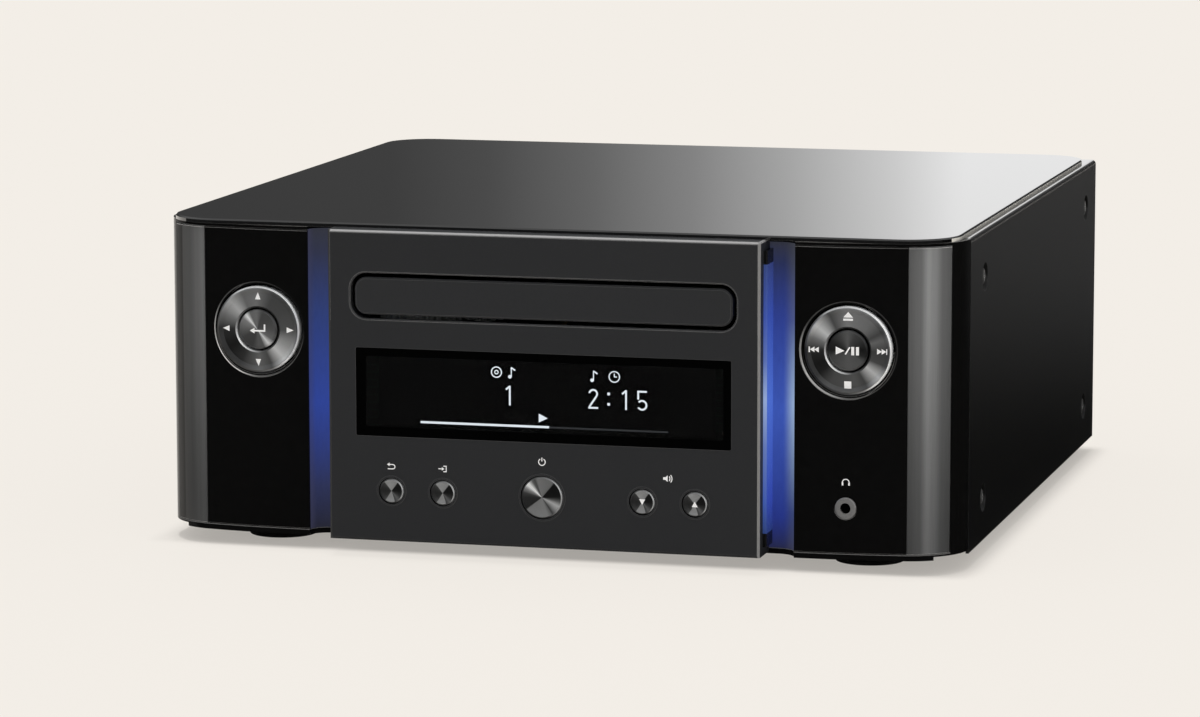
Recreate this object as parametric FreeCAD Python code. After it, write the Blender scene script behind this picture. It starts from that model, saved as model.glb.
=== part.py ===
"""Compact disc receiver: folded steel case, moulded front with lit flutes, and a tray loader inside.

Millimetres. +Z is up, the front faces -Y, X runs to the right seen from the front. The origin is
the bottom centre of the whole object: z = 0 is the surface that the feet stand on.
"""
import FreeCAD, Part
import math
import os

V = FreeCAD.Vector
X_AXIS = V(1, 0, 0)
Y_AXIS = V(0, 1, 0)
Z_AXIS = V(0, 0, 1)

# Overall size
CASE_WIDTH = 280.0
CASE_DEPTH = 280.0  # from the front plane of the side wings to the cover's rear edge
COVER_TOP = 111.7
FOOT_HEIGHT = 5.2
PLATE_THICK = 1.6
PLATE_MARGIN = 2.5  # strip of the cover left beside the plate
PLATE_CHAMFER = 0.5
PANEL_PROUD = 6.0  # the centre panel stands in front of the wings
BUTTON_PROUD = 0.5
POST_PROUD = 16.5  # the speaker posts stand out behind the cover

OVERALL_DEPTH = BUTTON_PROUD + PANEL_PROUD + CASE_DEPTH + POST_PROUD
FRONT_Y = BUTTON_PROUD + PANEL_PROUD - OVERALL_DEPTH / 2
FACE_Y = FRONT_Y - PANEL_PROUD
COVER_REAR = FRONT_Y + CASE_DEPTH
HALF_WIDTH = CASE_WIDTH / 2

# Sheet metal and mouldings
COVER_GAUGE = 1.0
CHASSIS_GAUGE = 1.2
WALL = 2.5
SEAM = 0.2
RUNNING = 0.3  # free gap between a moving piece and its guide
BEARING = 0.06  # radial gap of a shaft in its bearing

# Plan outline of the front
WING_SETBACK = 2.3
CROWN_START = 88.0
CROWN_RADIUS = 214.0
CORNER_RADIUS = 21.4
FLUTE_EDGE = 84.9
FLUTE_DEPTH = 7.2
FLUTE_SPAN = 6.6
PILLAR_WIDTH = 13.0
PILLAR_MARGIN = 4.4  # black corner left between a pillar and the case side
MOULDING_DEPTH = 24.0
WING_TOP = 110.5
WING_BOTTOM = 7.2

# Centre panel
PANEL_HALF = 75.0
PANEL_TOP = 111.9
PANEL_BOTTOM = 5.9
PANEL_SKIN = 3.0
DOOR_HALF = 65.5
DOOR_BOTTOM = 83.4
DOOR_TOP = 96.0
DOOR_CORNER = 4.0
DOOR_GAP = 1.5
RIM_CHAMFER = 0.4  # small bevels on the front's rims
WINDOW_HALF = 65.2
WINDOW_BOTTOM = 42.0
WINDOW_TOP = 72.0
BUTTON_Z = 23.3
BUTTON_RADIUS = 4.2
POWER_RADIUS = 7.1
BUTTON_X = {"back_button": -52.9, "input_button": -34.8, "power_button": 0.0,
            "volume_down_button": 34.8, "volume_up_button": 52.9}
BUTTON_TRAVEL = 0.8

# Direction keys on the wings
NAV_X = 102.9
NAV_Z = 75.7
RING_RADIUS = 14.8
RING_BORE = 7.5
WELL_RADIUS = 16.4
CENTRE_KEY_RADIUS = 6.8
CENTRE_KEY_TRAVEL = 0.8
RING_TILT = 2.5
JACK_X = 102.4
JACK_Z = 22.7
PLUG_BORE = 1.8

# Disc loader
SPINDLE_Y = FACE_Y + 68.0
TRAY_HALF = 64.0
TRAY_TOP = 91.2
TRAY_FLOOR = 85.6
TRAY_TRAVEL = 135.0
TRAY_TAIL = SPINDLE_Y + 103.0
DISC_SEAT = 88.4
SMALL_SEAT = 87.2
DISC_RECESS = 61.0
SMALL_RECESS = 41.0
SLOT_HALF = 21.0
RAIL_BOTTOM = 86.4
RAIL_TOP = 88.4
RAIL_PROUD = 1.6
GEAR_MODULE = 1.0
PINION_TEETH = 15
DRIVE_TEETH = 30
IDLER_TEETH = 12
PULLEY_RADIUS = 11.5
MOTOR_PULLEY_RADIUS = 3.0
RACK_PITCH_X = -57.0
GEAR_Y = SPINDLE_Y - 37.0
MOTOR_X = 1.0
MOTOR_Y = SPINDLE_Y - 43.0
MOTOR_RADIUS = 10.5
TILT_DROP = 3.6  # degrees between playing and loading
TILT_Y = SPINDLE_Y + 89.0
TILT_Z = 76.0
CAM_TRAVEL = 13.0
CAM_PIN_X = 28.0
CAM_PIN_Z = 74.0
CAM_PIN_RADIUS = 1.5
SLED_TRAVEL = 36.0
SCREW_PITCH = 3.0
DISC_THICK = 1.2
PLAY_HEIGHT = 90.2
CLAMPER_RADIUS = 12.0

# Rear panel
REAR_FACE = COVER_REAR - 1.0
POST_PITCH = 19.0
POST_X = -HALF_WIDTH + 36.0
POST_Z = 42.0
BANANA_BORE = 2.05
POST_RADIUS = 2.6
INLET_X = HALF_WIDTH - 27.0

SCREW_HEAD = 3.0
SCREW_SHANK = 1.5


# Basic shapes

def box(x0, x1, y0, y1, z0, z1):
    """Return a block between two corners."""
    return Part.makeBox(x1 - x0, y1 - y0, z1 - z0, V(x0, y0, z0))


def cylinder(x, y, z, radius, length, axis=Z_AXIS):
    """Return a cylinder that starts at a point and runs along an axis."""
    return Part.makeCylinder(radius, length, V(x, y, z), axis)


def tube(x, y, z, outer, inner, length, axis=Z_AXIS):
    """Return a ring or sleeve."""
    return cylinder(x, y, z, outer, length, axis).cut(cylinder(x, y, z, inner, length, axis))


def fuse(shapes):
    """Join touching solids into one, with the seams between their faces removed."""
    first, rest = shapes[0], shapes[1:]
    return first.fuse(rest).removeSplitter() if rest else first


def cut(shape, tools):
    """Take several tools out of a shape."""
    return shape.cut(tools) if tools else shape


def polygon(points):
    """Return a closed face through points."""
    return Part.Face(Part.makePolygon(points + [points[0]]))


def prism(edges, vector):
    """Extrude a closed outline of edges into a solid."""
    face = Part.Face(Part.Wire(Part.__sortEdges__(edges)))
    if face.normalAt(0, 0).dot(vector) < 0:
        face.reverse()
    return face.extrude(vector)


def turned(profile, centre, axis):
    """Revolve a profile of (radius, distance along the axis) pairs about an axis through centre."""
    side = X_AXIS if abs(axis.x) < 0.5 else Z_AXIS
    points = [centre + side * radius + axis * along for radius, along in profile]
    return polygon(points).revolve(centre, axis, 360)


def rounded_face(a0, a1, b0, b1, radius, place):
    """Return a rectangle with round corners; place turns its two coordinates into a point."""
    edges = []
    corners = [(a1, b0, 270), (a1, b1, 0), (a0, b1, 90), (a0, b0, 180)]
    signs = [(-1, 1), (-1, -1), (1, -1), (1, 1)]
    ends = []
    for (a, b, start), (sa, sb) in zip(corners, signs):
        ca, cb = a + sa * radius, b + sb * radius
        three = []
        for turn in (0, 45, 90):
            angle = math.radians(start + turn)
            three.append(place(ca + radius * math.cos(angle), cb + radius * math.sin(angle)))
        ends.append(three)
    for index, three in enumerate(ends):
        before = ends[index - 1][2]
        if before.distanceToPoint(three[0]) > 1e-6:
            edges.append(Part.makeLine(before, three[0]))
        edges.append(Part.Arc(*three).toShape())
    return Part.Face(Part.Wire(edges))


def upright_plate(x0, x1, z0, z1, radius, y0, y1):
    """Return a plate with round corners that faces front."""
    return rounded_face(x0, x1, z0, z1, radius, lambda a, b: V(a, y0, b)).extrude(V(0, y1 - y0, 0))


def flat_plate(x0, x1, y0, y1, radius, z0, z1):
    """Return a plate with round corners that lies flat."""
    return rounded_face(x0, x1, y0, y1, radius, lambda a, b: V(a, b, z0)).extrude(V(0, 0, z1 - z0))


def mirrored(shape):
    """Return the shape on the other side of the centre plane."""
    return shape.mirror(V(0, 0, 0), X_AXIS)


def both_sides(shape):
    """Return a shape and its mirror image as one compound."""
    return Part.makeCompound([shape, mirrored(shape)])


# Front outline

def corner_centre_y():
    """Return where the corner arc meets the flat side, from the crown's slope there."""
    return crown_end()[1] + (CORNER_RADIUS) * math.cos(crown_end()[2])


def crown_end():
    """Return x, y and slope where the wing's crown runs into the corner arc."""
    reach = HALF_WIDTH - CORNER_RADIUS - CROWN_START
    slope = math.asin(reach / (CROWN_RADIUS - CORNER_RADIUS))
    x = CROWN_START + CROWN_RADIUS * math.sin(slope)
    y = FRONT_Y + WING_SETBACK + CROWN_RADIUS * (1 - math.cos(slope))
    return x, y, slope


def outline_point(x, inset):
    """Return the front outline's y at x, for an outline pulled in by inset."""
    crown_y = FRONT_Y + WING_SETBACK + CROWN_RADIUS
    if x <= CROWN_START:
        return FRONT_Y + WING_SETBACK + inset
    x_end, _, slope = crown_end()
    if x <= x_end - inset * math.sin(slope):
        return crown_y - math.sqrt((CROWN_RADIUS - inset) ** 2 - (x - CROWN_START) ** 2)
    radius = CORNER_RADIUS - inset
    offset = min(x - (HALF_WIDTH - CORNER_RADIUS), radius)
    return corner_centre_y() - math.sqrt(radius ** 2 - offset ** 2)


def outline_edges(x_from, x_to, inset, z):
    """Return the outline's edges between two x values at a height, tangent arcs throughout."""
    slope_x = crown_end()[0] - inset * math.sin(crown_end()[2])
    stops = [x_from] + [x for x in (CROWN_START, slope_x) if x_from + 0.05 < x < x_to - 0.05] + [x_to]
    edges = []
    for left, right in zip(stops, stops[1:]):
        a = V(left, outline_point(left, inset), z)
        b = V(right, outline_point(right, inset), z)
        if right <= CROWN_START + 1e-6:
            edges.append(Part.makeLine(a, b))
            continue
        if left >= slope_x - 1e-6:
            centre = V(HALF_WIDTH - CORNER_RADIUS, corner_centre_y(), z)
            radius = CORNER_RADIUS - inset
        else:
            centre = V(CROWN_START, FRONT_Y + WING_SETBACK + CROWN_RADIUS, z)
            radius = CROWN_RADIUS - inset
        chord = (a + b) * 0.5 - centre
        edges.append(Part.Arc(a, centre + chord * (radius / chord.Length), b).toShape())
    return edges


def outline_band(x_from, x_to, outer, inner, z0, z1):
    """Return the solid between two insets of the outline on the right-hand side."""
    front = outline_edges(x_from, x_to, outer, z0)
    back = outline_edges(x_from, x_to, inner, z0)
    first = Part.makeLine(front[0].Vertexes[0].Point, back[0].Vertexes[0].Point)
    last = Part.makeLine(front[-1].Vertexes[-1].Point, back[-1].Vertexes[-1].Point)
    return prism(front + [last] + back + [first], V(0, 0, z1 - z0))


def outline_block(inset, x_from, y_back, z0, z1):
    """Return the solid behind the outline on the right-hand side, as far back as y_back."""
    edges = outline_edges(x_from, outline_reach(inset, y_back), inset, z0)
    return closed_block(edges, y_back, z1)


def outline_reach(inset, y):
    """Return how far the outline's corner arc has come to the side at a y."""
    short = max(corner_centre_y() - y, 0)
    return HALF_WIDTH - CORNER_RADIUS + math.sqrt((CORNER_RADIUS - inset) ** 2 - short ** 2)


def closed_block(edges, y_back, z1):
    """Return the solid between a front line of edges, given from left to right, and y_back."""
    start = edges[0].Vertexes[0].Point
    end = edges[-1].Vertexes[-1].Point
    corners = [end, V(end.x, y_back, end.z), V(start.x, y_back, start.z), start]
    sides = [Part.makeLine(a, b) for a, b in zip(corners, corners[1:]) if a.distanceToPoint(b) > 1e-4]
    return prism(edges + sides, V(0, 0, z1 - start.z))


# Gears

def involute_flank(pitch_radius, outer_radius, root_radius, backlash):
    """Return one flank as (radius, angle from the tooth's middle), from the root to the tip."""
    base = pitch_radius * math.cos(math.radians(20))
    involute = math.tan(math.radians(20)) - math.radians(20)
    half = math.pi * GEAR_MODULE / 4 / pitch_radius - backlash / 2 / pitch_radius
    start = max(base, root_radius)
    flank = [(root_radius, None)] if root_radius < base - 1e-6 else []
    for step in range(3):
        radius = start + (outer_radius - start) * step / 2
        pressure = math.acos(min(1.0, base / radius))
        flank.append((radius, half + involute - (math.tan(pressure) - pressure)))
    if flank[0][1] is None:
        flank[0] = (root_radius, flank[1][1])
    return flank


def gear(teeth, x, y, z0, z1, phase, backlash=0.16):
    """Return a spur gear; phase is the angle in degrees of one tooth's middle."""
    pitch_radius = GEAR_MODULE * teeth / 2
    flank = involute_flank(pitch_radius, pitch_radius + GEAR_MODULE * 0.95,
                           pitch_radius - GEAR_MODULE * 1.25, backlash)
    points = []
    for tooth in range(teeth):
        middle = math.radians(phase) + tooth * 2 * math.pi / teeth
        for radius, away in flank:
            points.append((radius, middle - away))
        for radius, away in reversed(flank):
            points.append((radius, middle + away))
    outline = [V(x + r * math.cos(a), y + r * math.sin(a), z0) for r, a in points]
    return polygon(outline).extrude(V(0, 0, z1 - z0))


def rack(x_pitch, y0, y1, y_gap, z0, z1, depth, backlash=0.16):
    """Return a rack along Y with teeth towards +X; y_gap is the middle of one tooth space."""
    pitch = math.pi * GEAR_MODULE
    half = pitch / 4 - backlash / 2
    lean = math.tan(math.radians(20))
    root_x = x_pitch - 1.25 * GEAR_MODULE
    tip_x = x_pitch + 0.95 * GEAR_MODULE
    first = math.ceil((y0 - y_gap) / pitch + 0.5)
    last = math.floor((y1 - y_gap) / pitch - 0.5)
    points = [V(root_x - depth, y1, z0), V(root_x - depth, y0, z0), V(root_x, y0, z0)]
    for index in range(first, last):
        middle = y_gap + (index + 0.5) * pitch
        root_half = half + lean * 1.25 * GEAR_MODULE
        tip_half = half - lean * 0.95 * GEAR_MODULE
        points += [V(root_x, middle - root_half, z0), V(tip_x, middle - tip_half, z0),
                   V(tip_x, middle + tip_half, z0), V(root_x, middle + root_half, z0)]
    points.append(V(root_x, y1, z0))
    return polygon(points).extrude(V(0, 0, z1 - z0))


# Case

def bottom_chassis():
    """Folded steel tray with side walls, screw uprights, vent slots and board standoffs."""
    half = HALF_WIDTH - COVER_GAUGE - 1.6
    y0 = FRONT_Y + 9.0
    y1 = REAR_FACE - CHASSIS_GAUGE
    z0 = FOOT_HEIGHT
    shoulder = half - CORNER_RADIUS
    corners = [(-half, y1), (-half, cover_front()), (-shoulder, y0), (shoulder, y0),
               (half, cover_front()), (half, y1)]
    floor = polygon([V(x, y, z0) for x, y in corners]).extrude(V(0, 0, CHASSIS_GAUGE))
    wall = box(half - CHASSIS_GAUGE, half, cover_front() + 2, y1, z0, z0 + 22)
    rear_lip = box(-half, half, y1 - CHASSIS_GAUGE, y1, z0, BOARD_BOTTOM - 1)
    pieces = [floor, wall, mirrored(wall), rear_lip]
    for y in side_screw_rows():
        upright = box(half - CHASSIS_GAUGE, half, y - 9, y + 9, z0, COVER_TOP - 9)
        pieces += [upright, mirrored(upright)]
    for x, y in standoff_places():
        pieces.append(cylinder(x, y, z0, 3.2, BOARD_BOTTOM - z0))
    holes = []
    for y in side_screw_rows():
        for z in side_screw_heights():
            holes.append(cylinder(-half - 1, y, z, SCREW_SHANK + 0.05, 2 * half + 2, X_AXIS))
    for x, y in foot_places():
        holes.append(cylinder(x, y, z0 - 1, SCREW_SHANK + 0.05, 4))
    for x, z in rear_screw_places():
        holes.append(cylinder(x, y1 - 3, z, SCREW_SHANK + 0.05, 6, Y_AXIS))
    for row in range(6):
        for side in (-1, 1):
            y = SPINDLE_Y + 15 + row * 12
            x = side * (half - 30)
            holes.append(flat_plate(x - 16, x + 16, y - 2, y + 2, 1.9, z0 - 1, z0 + 3))
    return cut(fuse(pieces), holes)


def side_screw_rows():
    """Return the y places of the cover screws."""
    return [FRONT_Y + 50.0, COVER_REAR - 22.0]


def side_screw_heights():
    """Return the heights of the cover screws."""
    return [FOOT_HEIGHT + 14.9, COVER_TOP - 16.0]


def foot_places():
    """Return the centres of the four feet."""
    x = HALF_WIDTH - 35.5
    return [(side * x, y) for y in (FRONT_Y + 33.0, COVER_REAR - 35.0) for side in (-1, 1)]


BOARD_BOTTOM = FOOT_HEIGHT + 9.0
BOARD_THICK = 1.6
MAIN_HALF = 70.0
MAIN_FRONT = FRONT_Y + 27.0
MAIN_REAR = REAR_FACE - 3.0


def standoff_places():
    """Return the posts that carry the main board and the power board."""
    places = [(side * (MAIN_HALF - 6), y) for side in (-1, 1)
              for y in (MAIN_FRONT + 8, (MAIN_FRONT + MAIN_REAR) / 2, MAIN_REAR - 30)]
    x0, x1, y0, y1 = power_board_area()
    return places + [(x0 + 6, y0 + 8), (x1 - 6, y0 + 8), (x0 + 6, y1 - 34), (x1 - 6, y1 - 34)]


def cover_front():
    """Return the y of the cover's front edge."""
    return FRONT_Y + MOULDING_DEPTH + SEAM


CUP_DEPTH = COVER_GAUGE + 1.6  # the dimple's back rests on the chassis upright


def dimple(y, z, wall_x):
    """Return the tool that presses a screw dimple into the right-hand cover side."""
    return turned([(0, 0.1), (5.0, 0.1), (3.6, -1.5), (0, -1.5)], V(wall_x, y, z), X_AXIS)


def top_cover():
    """Steel cover wrapped over the top and both sides, with a pressed dimple at each side screw."""
    y0, y1 = cover_front(), COVER_REAR
    outer = box(-HALF_WIDTH, HALF_WIDTH, y0, y1, FOOT_HEIGHT, COVER_TOP)
    top_edges = [e for e in outer.Edges if on_top_sides(e)]
    outer = outer.makeFillet(1.6, top_edges)
    inner = box(-HALF_WIDTH + COVER_GAUGE, HALF_WIDTH - COVER_GAUGE, y0 - 1, y1 + 1,
                FOOT_HEIGHT - 1, COVER_TOP - COVER_GAUGE)
    shell = outer.cut(inner)
    lip = box(-HALF_WIDTH + COVER_GAUGE, HALF_WIDTH - COVER_GAUGE, y1 - 1.0, y1,
              COVER_TOP - COVER_GAUGE - 4, COVER_TOP - COVER_GAUGE)
    cups, tools = [], []
    for y in side_screw_rows():
        for z in side_screw_heights():
            cup = turned([(0, 0.2 - COVER_GAUGE), (6.0, 0.2 - COVER_GAUGE), (4.4, -CUP_DEPTH), (0, -CUP_DEPTH)],
                         V(HALF_WIDTH, y, z), X_AXIS)
            cups += [cup, mirrored(cup)]
            tool = dimple(y, z, HALF_WIDTH)
            tools += [tool, mirrored(tool)]
            tools.append(cylinder(-HALF_WIDTH - 1, y, z, SCREW_SHANK + 0.2, CASE_WIDTH + 2, X_AXIS))
    return cut(fuse([shell, lip] + cups), tools)


def on_top_sides(edge):
    """Tell whether an edge is one of the two long top edges of the case."""
    low, high = edge.Vertexes[0].Point, edge.Vertexes[-1].Point
    along = abs(low.y - high.y) > 1
    return along and min(low.z, high.z) > COVER_TOP - 1e-3


def plate_outline():
    """Return half-width, front y, rear y and corner radii of the glossy top plate."""
    return HALF_WIDTH - PLATE_MARGIN, FRONT_Y + 2.0, COVER_REAR - 0.8, CORNER_RADIUS - PLATE_MARGIN, 17.0


def top_plate():
    """Glossy plate on the case's top, its corners following the wings and its edge chamfered."""
    half, y0, y1, front_radius, rear_radius = plate_outline()
    z = COVER_TOP
    edges = []
    corners = [(half, y0, -1, 1, front_radius, 270), (half, y1, -1, -1, rear_radius, 0),
               (-half, y1, 1, -1, rear_radius, 90), (-half, y0, 1, 1, front_radius, 180)]
    arcs = []
    for x, y, sx, sy, radius, start in corners:
        three = []
        for turn in (0, 45, 90):
            angle = math.radians(start + turn)
            three.append(V(x + sx * radius + radius * math.cos(angle),
                           y + sy * radius + radius * math.sin(angle), z))
        arcs.append(three)
    for index, three in enumerate(arcs):
        edges.append(Part.makeLine(arcs[index - 1][2], three[0]))
        edges.append(Part.Arc(*three).toShape())
    plate = Part.Face(Part.Wire(edges)).extrude(V(0, 0, PLATE_THICK))
    rim = [e for e in plate.Edges if min(v.Z for v in e.Vertexes) > z + PLATE_THICK - 1e-3]
    return plate.makeChamfer(PLATE_CHAMFER, rim)


def rear_panel():
    """Steel rear panel with folded sides and one cut-out for each socket."""
    half = HALF_WIDTH - COVER_GAUGE - 0.4
    y0, y1 = REAR_FACE - CHASSIS_GAUGE, REAR_FACE
    z0, z1 = FOOT_HEIGHT, COVER_TOP - COVER_GAUGE - 0.3
    sheet = box(-half, half, y0, y1, z0, z1)
    tools = [upright_plate(x0 - SEAM, x1 + SEAM, zz0 - SEAM, zz1 + SEAM, r, y0 - 1, y1 + 1)
             for x0, x1, zz0, zz1, r in rear_cutouts()]
    for x, z in rear_screw_places():
        tools.append(cylinder(x, y0 - 1, z, SCREW_SHANK + 0.05, 4, Y_AXIS))
    for x, z in rca_places():
        tools.append(cylinder(x, y0 - 1, z, 5.2 + SEAM, 4, Y_AXIS))
    tools.append(cylinder(ANTENNA_X, y0 - 1, ANTENNA_Z, 5.0 + SEAM, 4, Y_AXIS))
    for column in range(9):
        x = column * 6.0 - 24
        tools.append(upright_plate(x - 1.2, x + 1.2, 66, 92, 1.1, y0 - 1, y1 + 1))
    return cut(sheet, tools)


ANTENNA_X = 45.0
ANTENNA_Z = 34.0
RCA_X = -34.0
RCA_Z = 24.0
LAN_X = 12.0
LAN_Z = BOARD_BOTTOM + BOARD_THICK
LAN_HEIGHT = 29.6
INLET_Z = 34.5


def rca_places():
    """Return the centres of the five line sockets."""
    grid = [(RCA_X + 14 * column, RCA_Z + 15 * row) for column in range(2) for row in range(2)]
    return grid + [(RCA_X - 16, RCA_Z)]


def post_places():
    """Return each speaker post's name and centre on the rear panel."""
    names = ["left_plus", "left_minus", "right_plus", "right_minus"]
    spots = [(0.5, 0.5), (0.5, -0.5), (-0.5, 0.5), (-0.5, -0.5)]
    return [(name, POST_X + a * POST_PITCH, POST_Z + b * POST_PITCH)
            for name, (a, b) in zip(names, spots)]


def rear_cutouts():
    """Return x0, x1, z0, z1 and corner radius of each square-cornered cut-out."""
    half = POST_PITCH / 2 + 9.0
    return [(POST_X - half, POST_X + half, POST_Z - half, POST_Z + half, 1.5),
            (INLET_X - 11, INLET_X + 11, INLET_Z - 6.5, INLET_Z + 6.5, 0.6),
            (LAN_X - 8, LAN_X + 8, LAN_Z, LAN_Z + LAN_HEIGHT, 0.6)]


def rear_screw_places():
    """Return the screws that hold the rear panel's sockets and sides."""
    x = HALF_WIDTH - 8
    z = FOOT_HEIGHT + 5.0
    return [(-x, z), (x, z), (INLET_X - 15, INLET_Z), (ANTENNA_X + 12, ANTENNA_Z)]


def feet():
    """Four moulded feet with a tapered edge and a counterbore for the screw."""
    profile = [(SCREW_SHANK + 0.05, 2.6), (4.0, 2.6), (4.0, 0.0), (11.6, 0.0), (12.6, 1.2),
               (13.0, FOOT_HEIGHT - 1.4), (12.4, FOOT_HEIGHT), (SCREW_SHANK + 0.05, FOOT_HEIGHT)]
    return Part.makeCompound([turned(profile, V(x, y, 0), Z_AXIS) for x, y in foot_places()])


def screw(x, y, z, axis, length=6.0, head=SCREW_HEAD, thick=1.8):
    """Return a pan-head screw; its head's underside sits at the point and the shank runs along -axis."""
    profile = [(0, thick), (head * 0.55, thick), (head, thick * 0.45), (head, 0),
               (SCREW_SHANK, 0), (SCREW_SHANK, -length), (0, -length)]
    return turned(profile, V(x, y, z), axis)


def screws():
    """All the case's identical screws: cover sides, feet, rear panel and loader lugs."""
    solids = []
    seat = HALF_WIDTH - 1.5
    for y in side_screw_rows():
        for z in side_screw_heights():
            solids.append(screw(seat, y, z, X_AXIS, thick=1.3))
            solids.append(screw(-seat, y, z, V(-1, 0, 0), thick=1.3))
    for x, y in foot_places():
        solids.append(screw(x, y, 2.6, V(0, 0, -1)))
    for x, z in rear_screw_places():
        solids.append(screw(x, REAR_FACE, z, Y_AXIS, thick=1.4))
    for x, y in lug_places():
        solids.append(screw(x, y, LUG_TOP, Z_AXIS, thick=1.6))
    return Part.makeCompound(solids)


# Moulded front

def nav_face_y():
    """Return the y of a ring key's front face."""
    return outline_point(NAV_X, 0) - 0.8


def nav_wall_y():
    """Return the y of the wall behind a ring key."""
    return nav_face_y() + 8.0


def front_moulding():
    """Moulded frame behind the wings, pillars and flutes, with the wells of the direction keys."""
    back = FRONT_Y + MOULDING_DEPTH
    z0, z1 = FOOT_HEIGHT, COVER_TOP
    front = flute_line(z0) + outline_edges(FLUTE_EDGE, outline_reach(0, back), 0, z0)
    outer = closed_block(front, back, z1)
    inset = WING_POCKET + MOULDING_WALL
    cavity = outline_block(inset, FLUTE_EDGE + MOULDING_WALL, back + 1, z0 + FLOOR_WALL, z1 - TOP_WALL)
    low, high = WING_BOTTOM, WING_TOP + 0.1
    pockets = [outline_band(CROWN_START, pillar_ends()[1] + SEAM, -1, WING_POCKET, low, high),
               box(FLUTE_EDGE - 1, CROWN_START, FRONT_Y, outline_point(CROWN_START, WALL), low, high),
               flute_pocket(low, high),
               box(-1, FLUTE_EDGE, flute_floor_y() + MOULDING_WALL, back + 1, z0 + FLOOR_WALL, z1 - TOP_WALL)]
    half = outer.cut([cavity] + pockets)
    half = half.fuse(nav_well()).cut(nav_well_tools())
    opening = upright_plate(-PANEL_HALF + 3.5, PANEL_HALF - 3.5, z0 + 4, z1 - 4, 2,
                            flute_floor_y() - 1, flute_floor_y() + 3)
    socket = cylinder(JACK_X, FRONT_Y - 1, JACK_Z, 4.4, 12, Y_AXIS)
    return fuse([half, mirrored(half)]).cut([opening, socket, chassis_relief()])


WING_POCKET = WALL + 0.1
MOULDING_WALL = 1.6
FLOOR_WALL = 3.0
TOP_WALL = 1.4


def chassis_relief():
    """Return the step in the moulding's underside that rests on the chassis floor."""
    return box(-HALF_WIDTH, HALF_WIDTH, FRONT_Y + 9.0 - SEAM, FRONT_Y + 60, FOOT_HEIGHT - 1,
               FOOT_HEIGHT + CHASSIS_GAUGE)


def flute_line(z):
    """Return the edges of a flute's front face, from the centre plane out to the wing's edge."""
    y0 = FRONT_Y + WING_SETBACK
    depth = FLUTE_DEPTH - FLUTE_SKIN
    points = []
    for step in range(8):
        angle = math.radians(90 * (1 - step / 7))
        points.append(V(FLUTE_EDGE - FLUTE_SPAN * (1 - math.cos(angle)), y0 + depth * math.sin(angle), z))
    curve = Part.BSplineCurve()
    curve.interpolate(points)
    return [Part.makeLine(V(0, y0 + depth, z), points[0]), curve.toShape()]


def flute_pocket(z0, z1):
    """Return the space that a flute takes out of the moulding."""
    y0, y1 = FRONT_Y + WING_SETBACK, flute_floor_y()
    return box(-1, FLUTE_EDGE + 0.01, y0 - 1, y1, z0, z1)


def nav_well():
    """Return the cup behind the right-hand wing that carries the direction key."""
    y0 = outline_point(NAV_X, WING_POCKET)
    y1 = nav_wall_y() + 2.0
    cup = tube(NAV_X, y0, NAV_Z, 19.2, 17.6, y1 - y0, Y_AXIS)
    wall = cylinder(NAV_X, nav_wall_y(), NAV_Z, 19.2, 2.0, Y_AXIS)
    lugs = []
    for side in (-1, 1):
        x0, x1 = sorted((NAV_X + side * 15.3, NAV_X + side * 18.0))
        lugs.append(box(x0, x1, nav_pivot_y() - 1.8, nav_wall_y(), NAV_Z - 2.2, NAV_Z + 2.2))
    posts = [cylinder(NAV_X + dx, nav_wall_y() + 1, NAV_Z + dz, 2.0, wing_board_y() - nav_wall_y() - 1, Y_AXIS)
             for dx in (-11.5, 11.5) for dz in (-11.5, 11.5)]
    room = outline_block(WING_POCKET, FLUTE_EDGE + 0.5, wing_board_y(), NAV_Z - 25, NAV_Z + 25)
    return fuse([cup, wall] + lugs + posts).common(room)


def wing_board_y():
    """Return the y of the front of a board behind a direction key."""
    return nav_face_y() + 14.6


def nav_pivot_y():
    """Return the y where the two tilt axes of a direction key cross."""
    return nav_face_y() + 6.0


def nav_well_tools():
    """Return the openings of the right-hand key well: ring, stem, pads and pivot holes."""
    y0 = outline_point(NAV_X, 0)
    tools = [cylinder(NAV_X, y0, NAV_Z, 17.6, nav_pivot_y() - 2.6 - y0, Y_AXIS),
             cylinder(NAV_X, y0, NAV_Z, 15.25, nav_wall_y() - y0, Y_AXIS),
             cylinder(NAV_X, nav_wall_y() - 1, NAV_Z, STEM_RADIUS + 0.1, 5, Y_AXIS),
             cylinder(NAV_X - 17.2, nav_pivot_y(), NAV_Z, PIVOT_RADIUS + BEARING, 34.4, X_AXIS)]
    for angle in (0, 90, 180, 270):
        pad = box(12.4, 15.6, nav_wall_y() - 1, nav_wall_y() + 4, -3.2, 3.2)
        pad.rotate(V(0, 0, 0), Y_AXIS, angle)
        pad.translate(V(NAV_X, 0, NAV_Z))
        tools.append(pad)
    return tools


STEM_RADIUS = 2.5
PIVOT_RADIUS = 0.7
PIVOT_REACH = 16.5  # from the key's middle to the end of a pin of its carrier


def pillar_ends():
    """Return the x range of a corner pillar on the right-hand side."""
    x1 = HALF_WIDTH - PILLAR_MARGIN
    return x1 - PILLAR_WIDTH, x1


def wing_panel():
    """Right-hand gloss wing with a dished hole for the direction key."""
    x1 = pillar_ends()[0] - SEAM / 2
    plate = bevelled_rim(outline_band(FLUTE_EDGE, x1, 0, WALL, WING_BOTTOM, WING_TOP), 0)
    y = outline_point(NAV_X, 0)
    dish = turned([(0, -2.0), (WELL_RADIUS, -2.0), (WELL_RADIUS, 0.25), (RING_RADIUS + 0.7, 0.9),
                   (RING_RADIUS + 0.7, 6.0), (0, 6.0)], V(NAV_X, y, NAV_Z), Y_AXIS)
    return plate.cut(dish)


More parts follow.
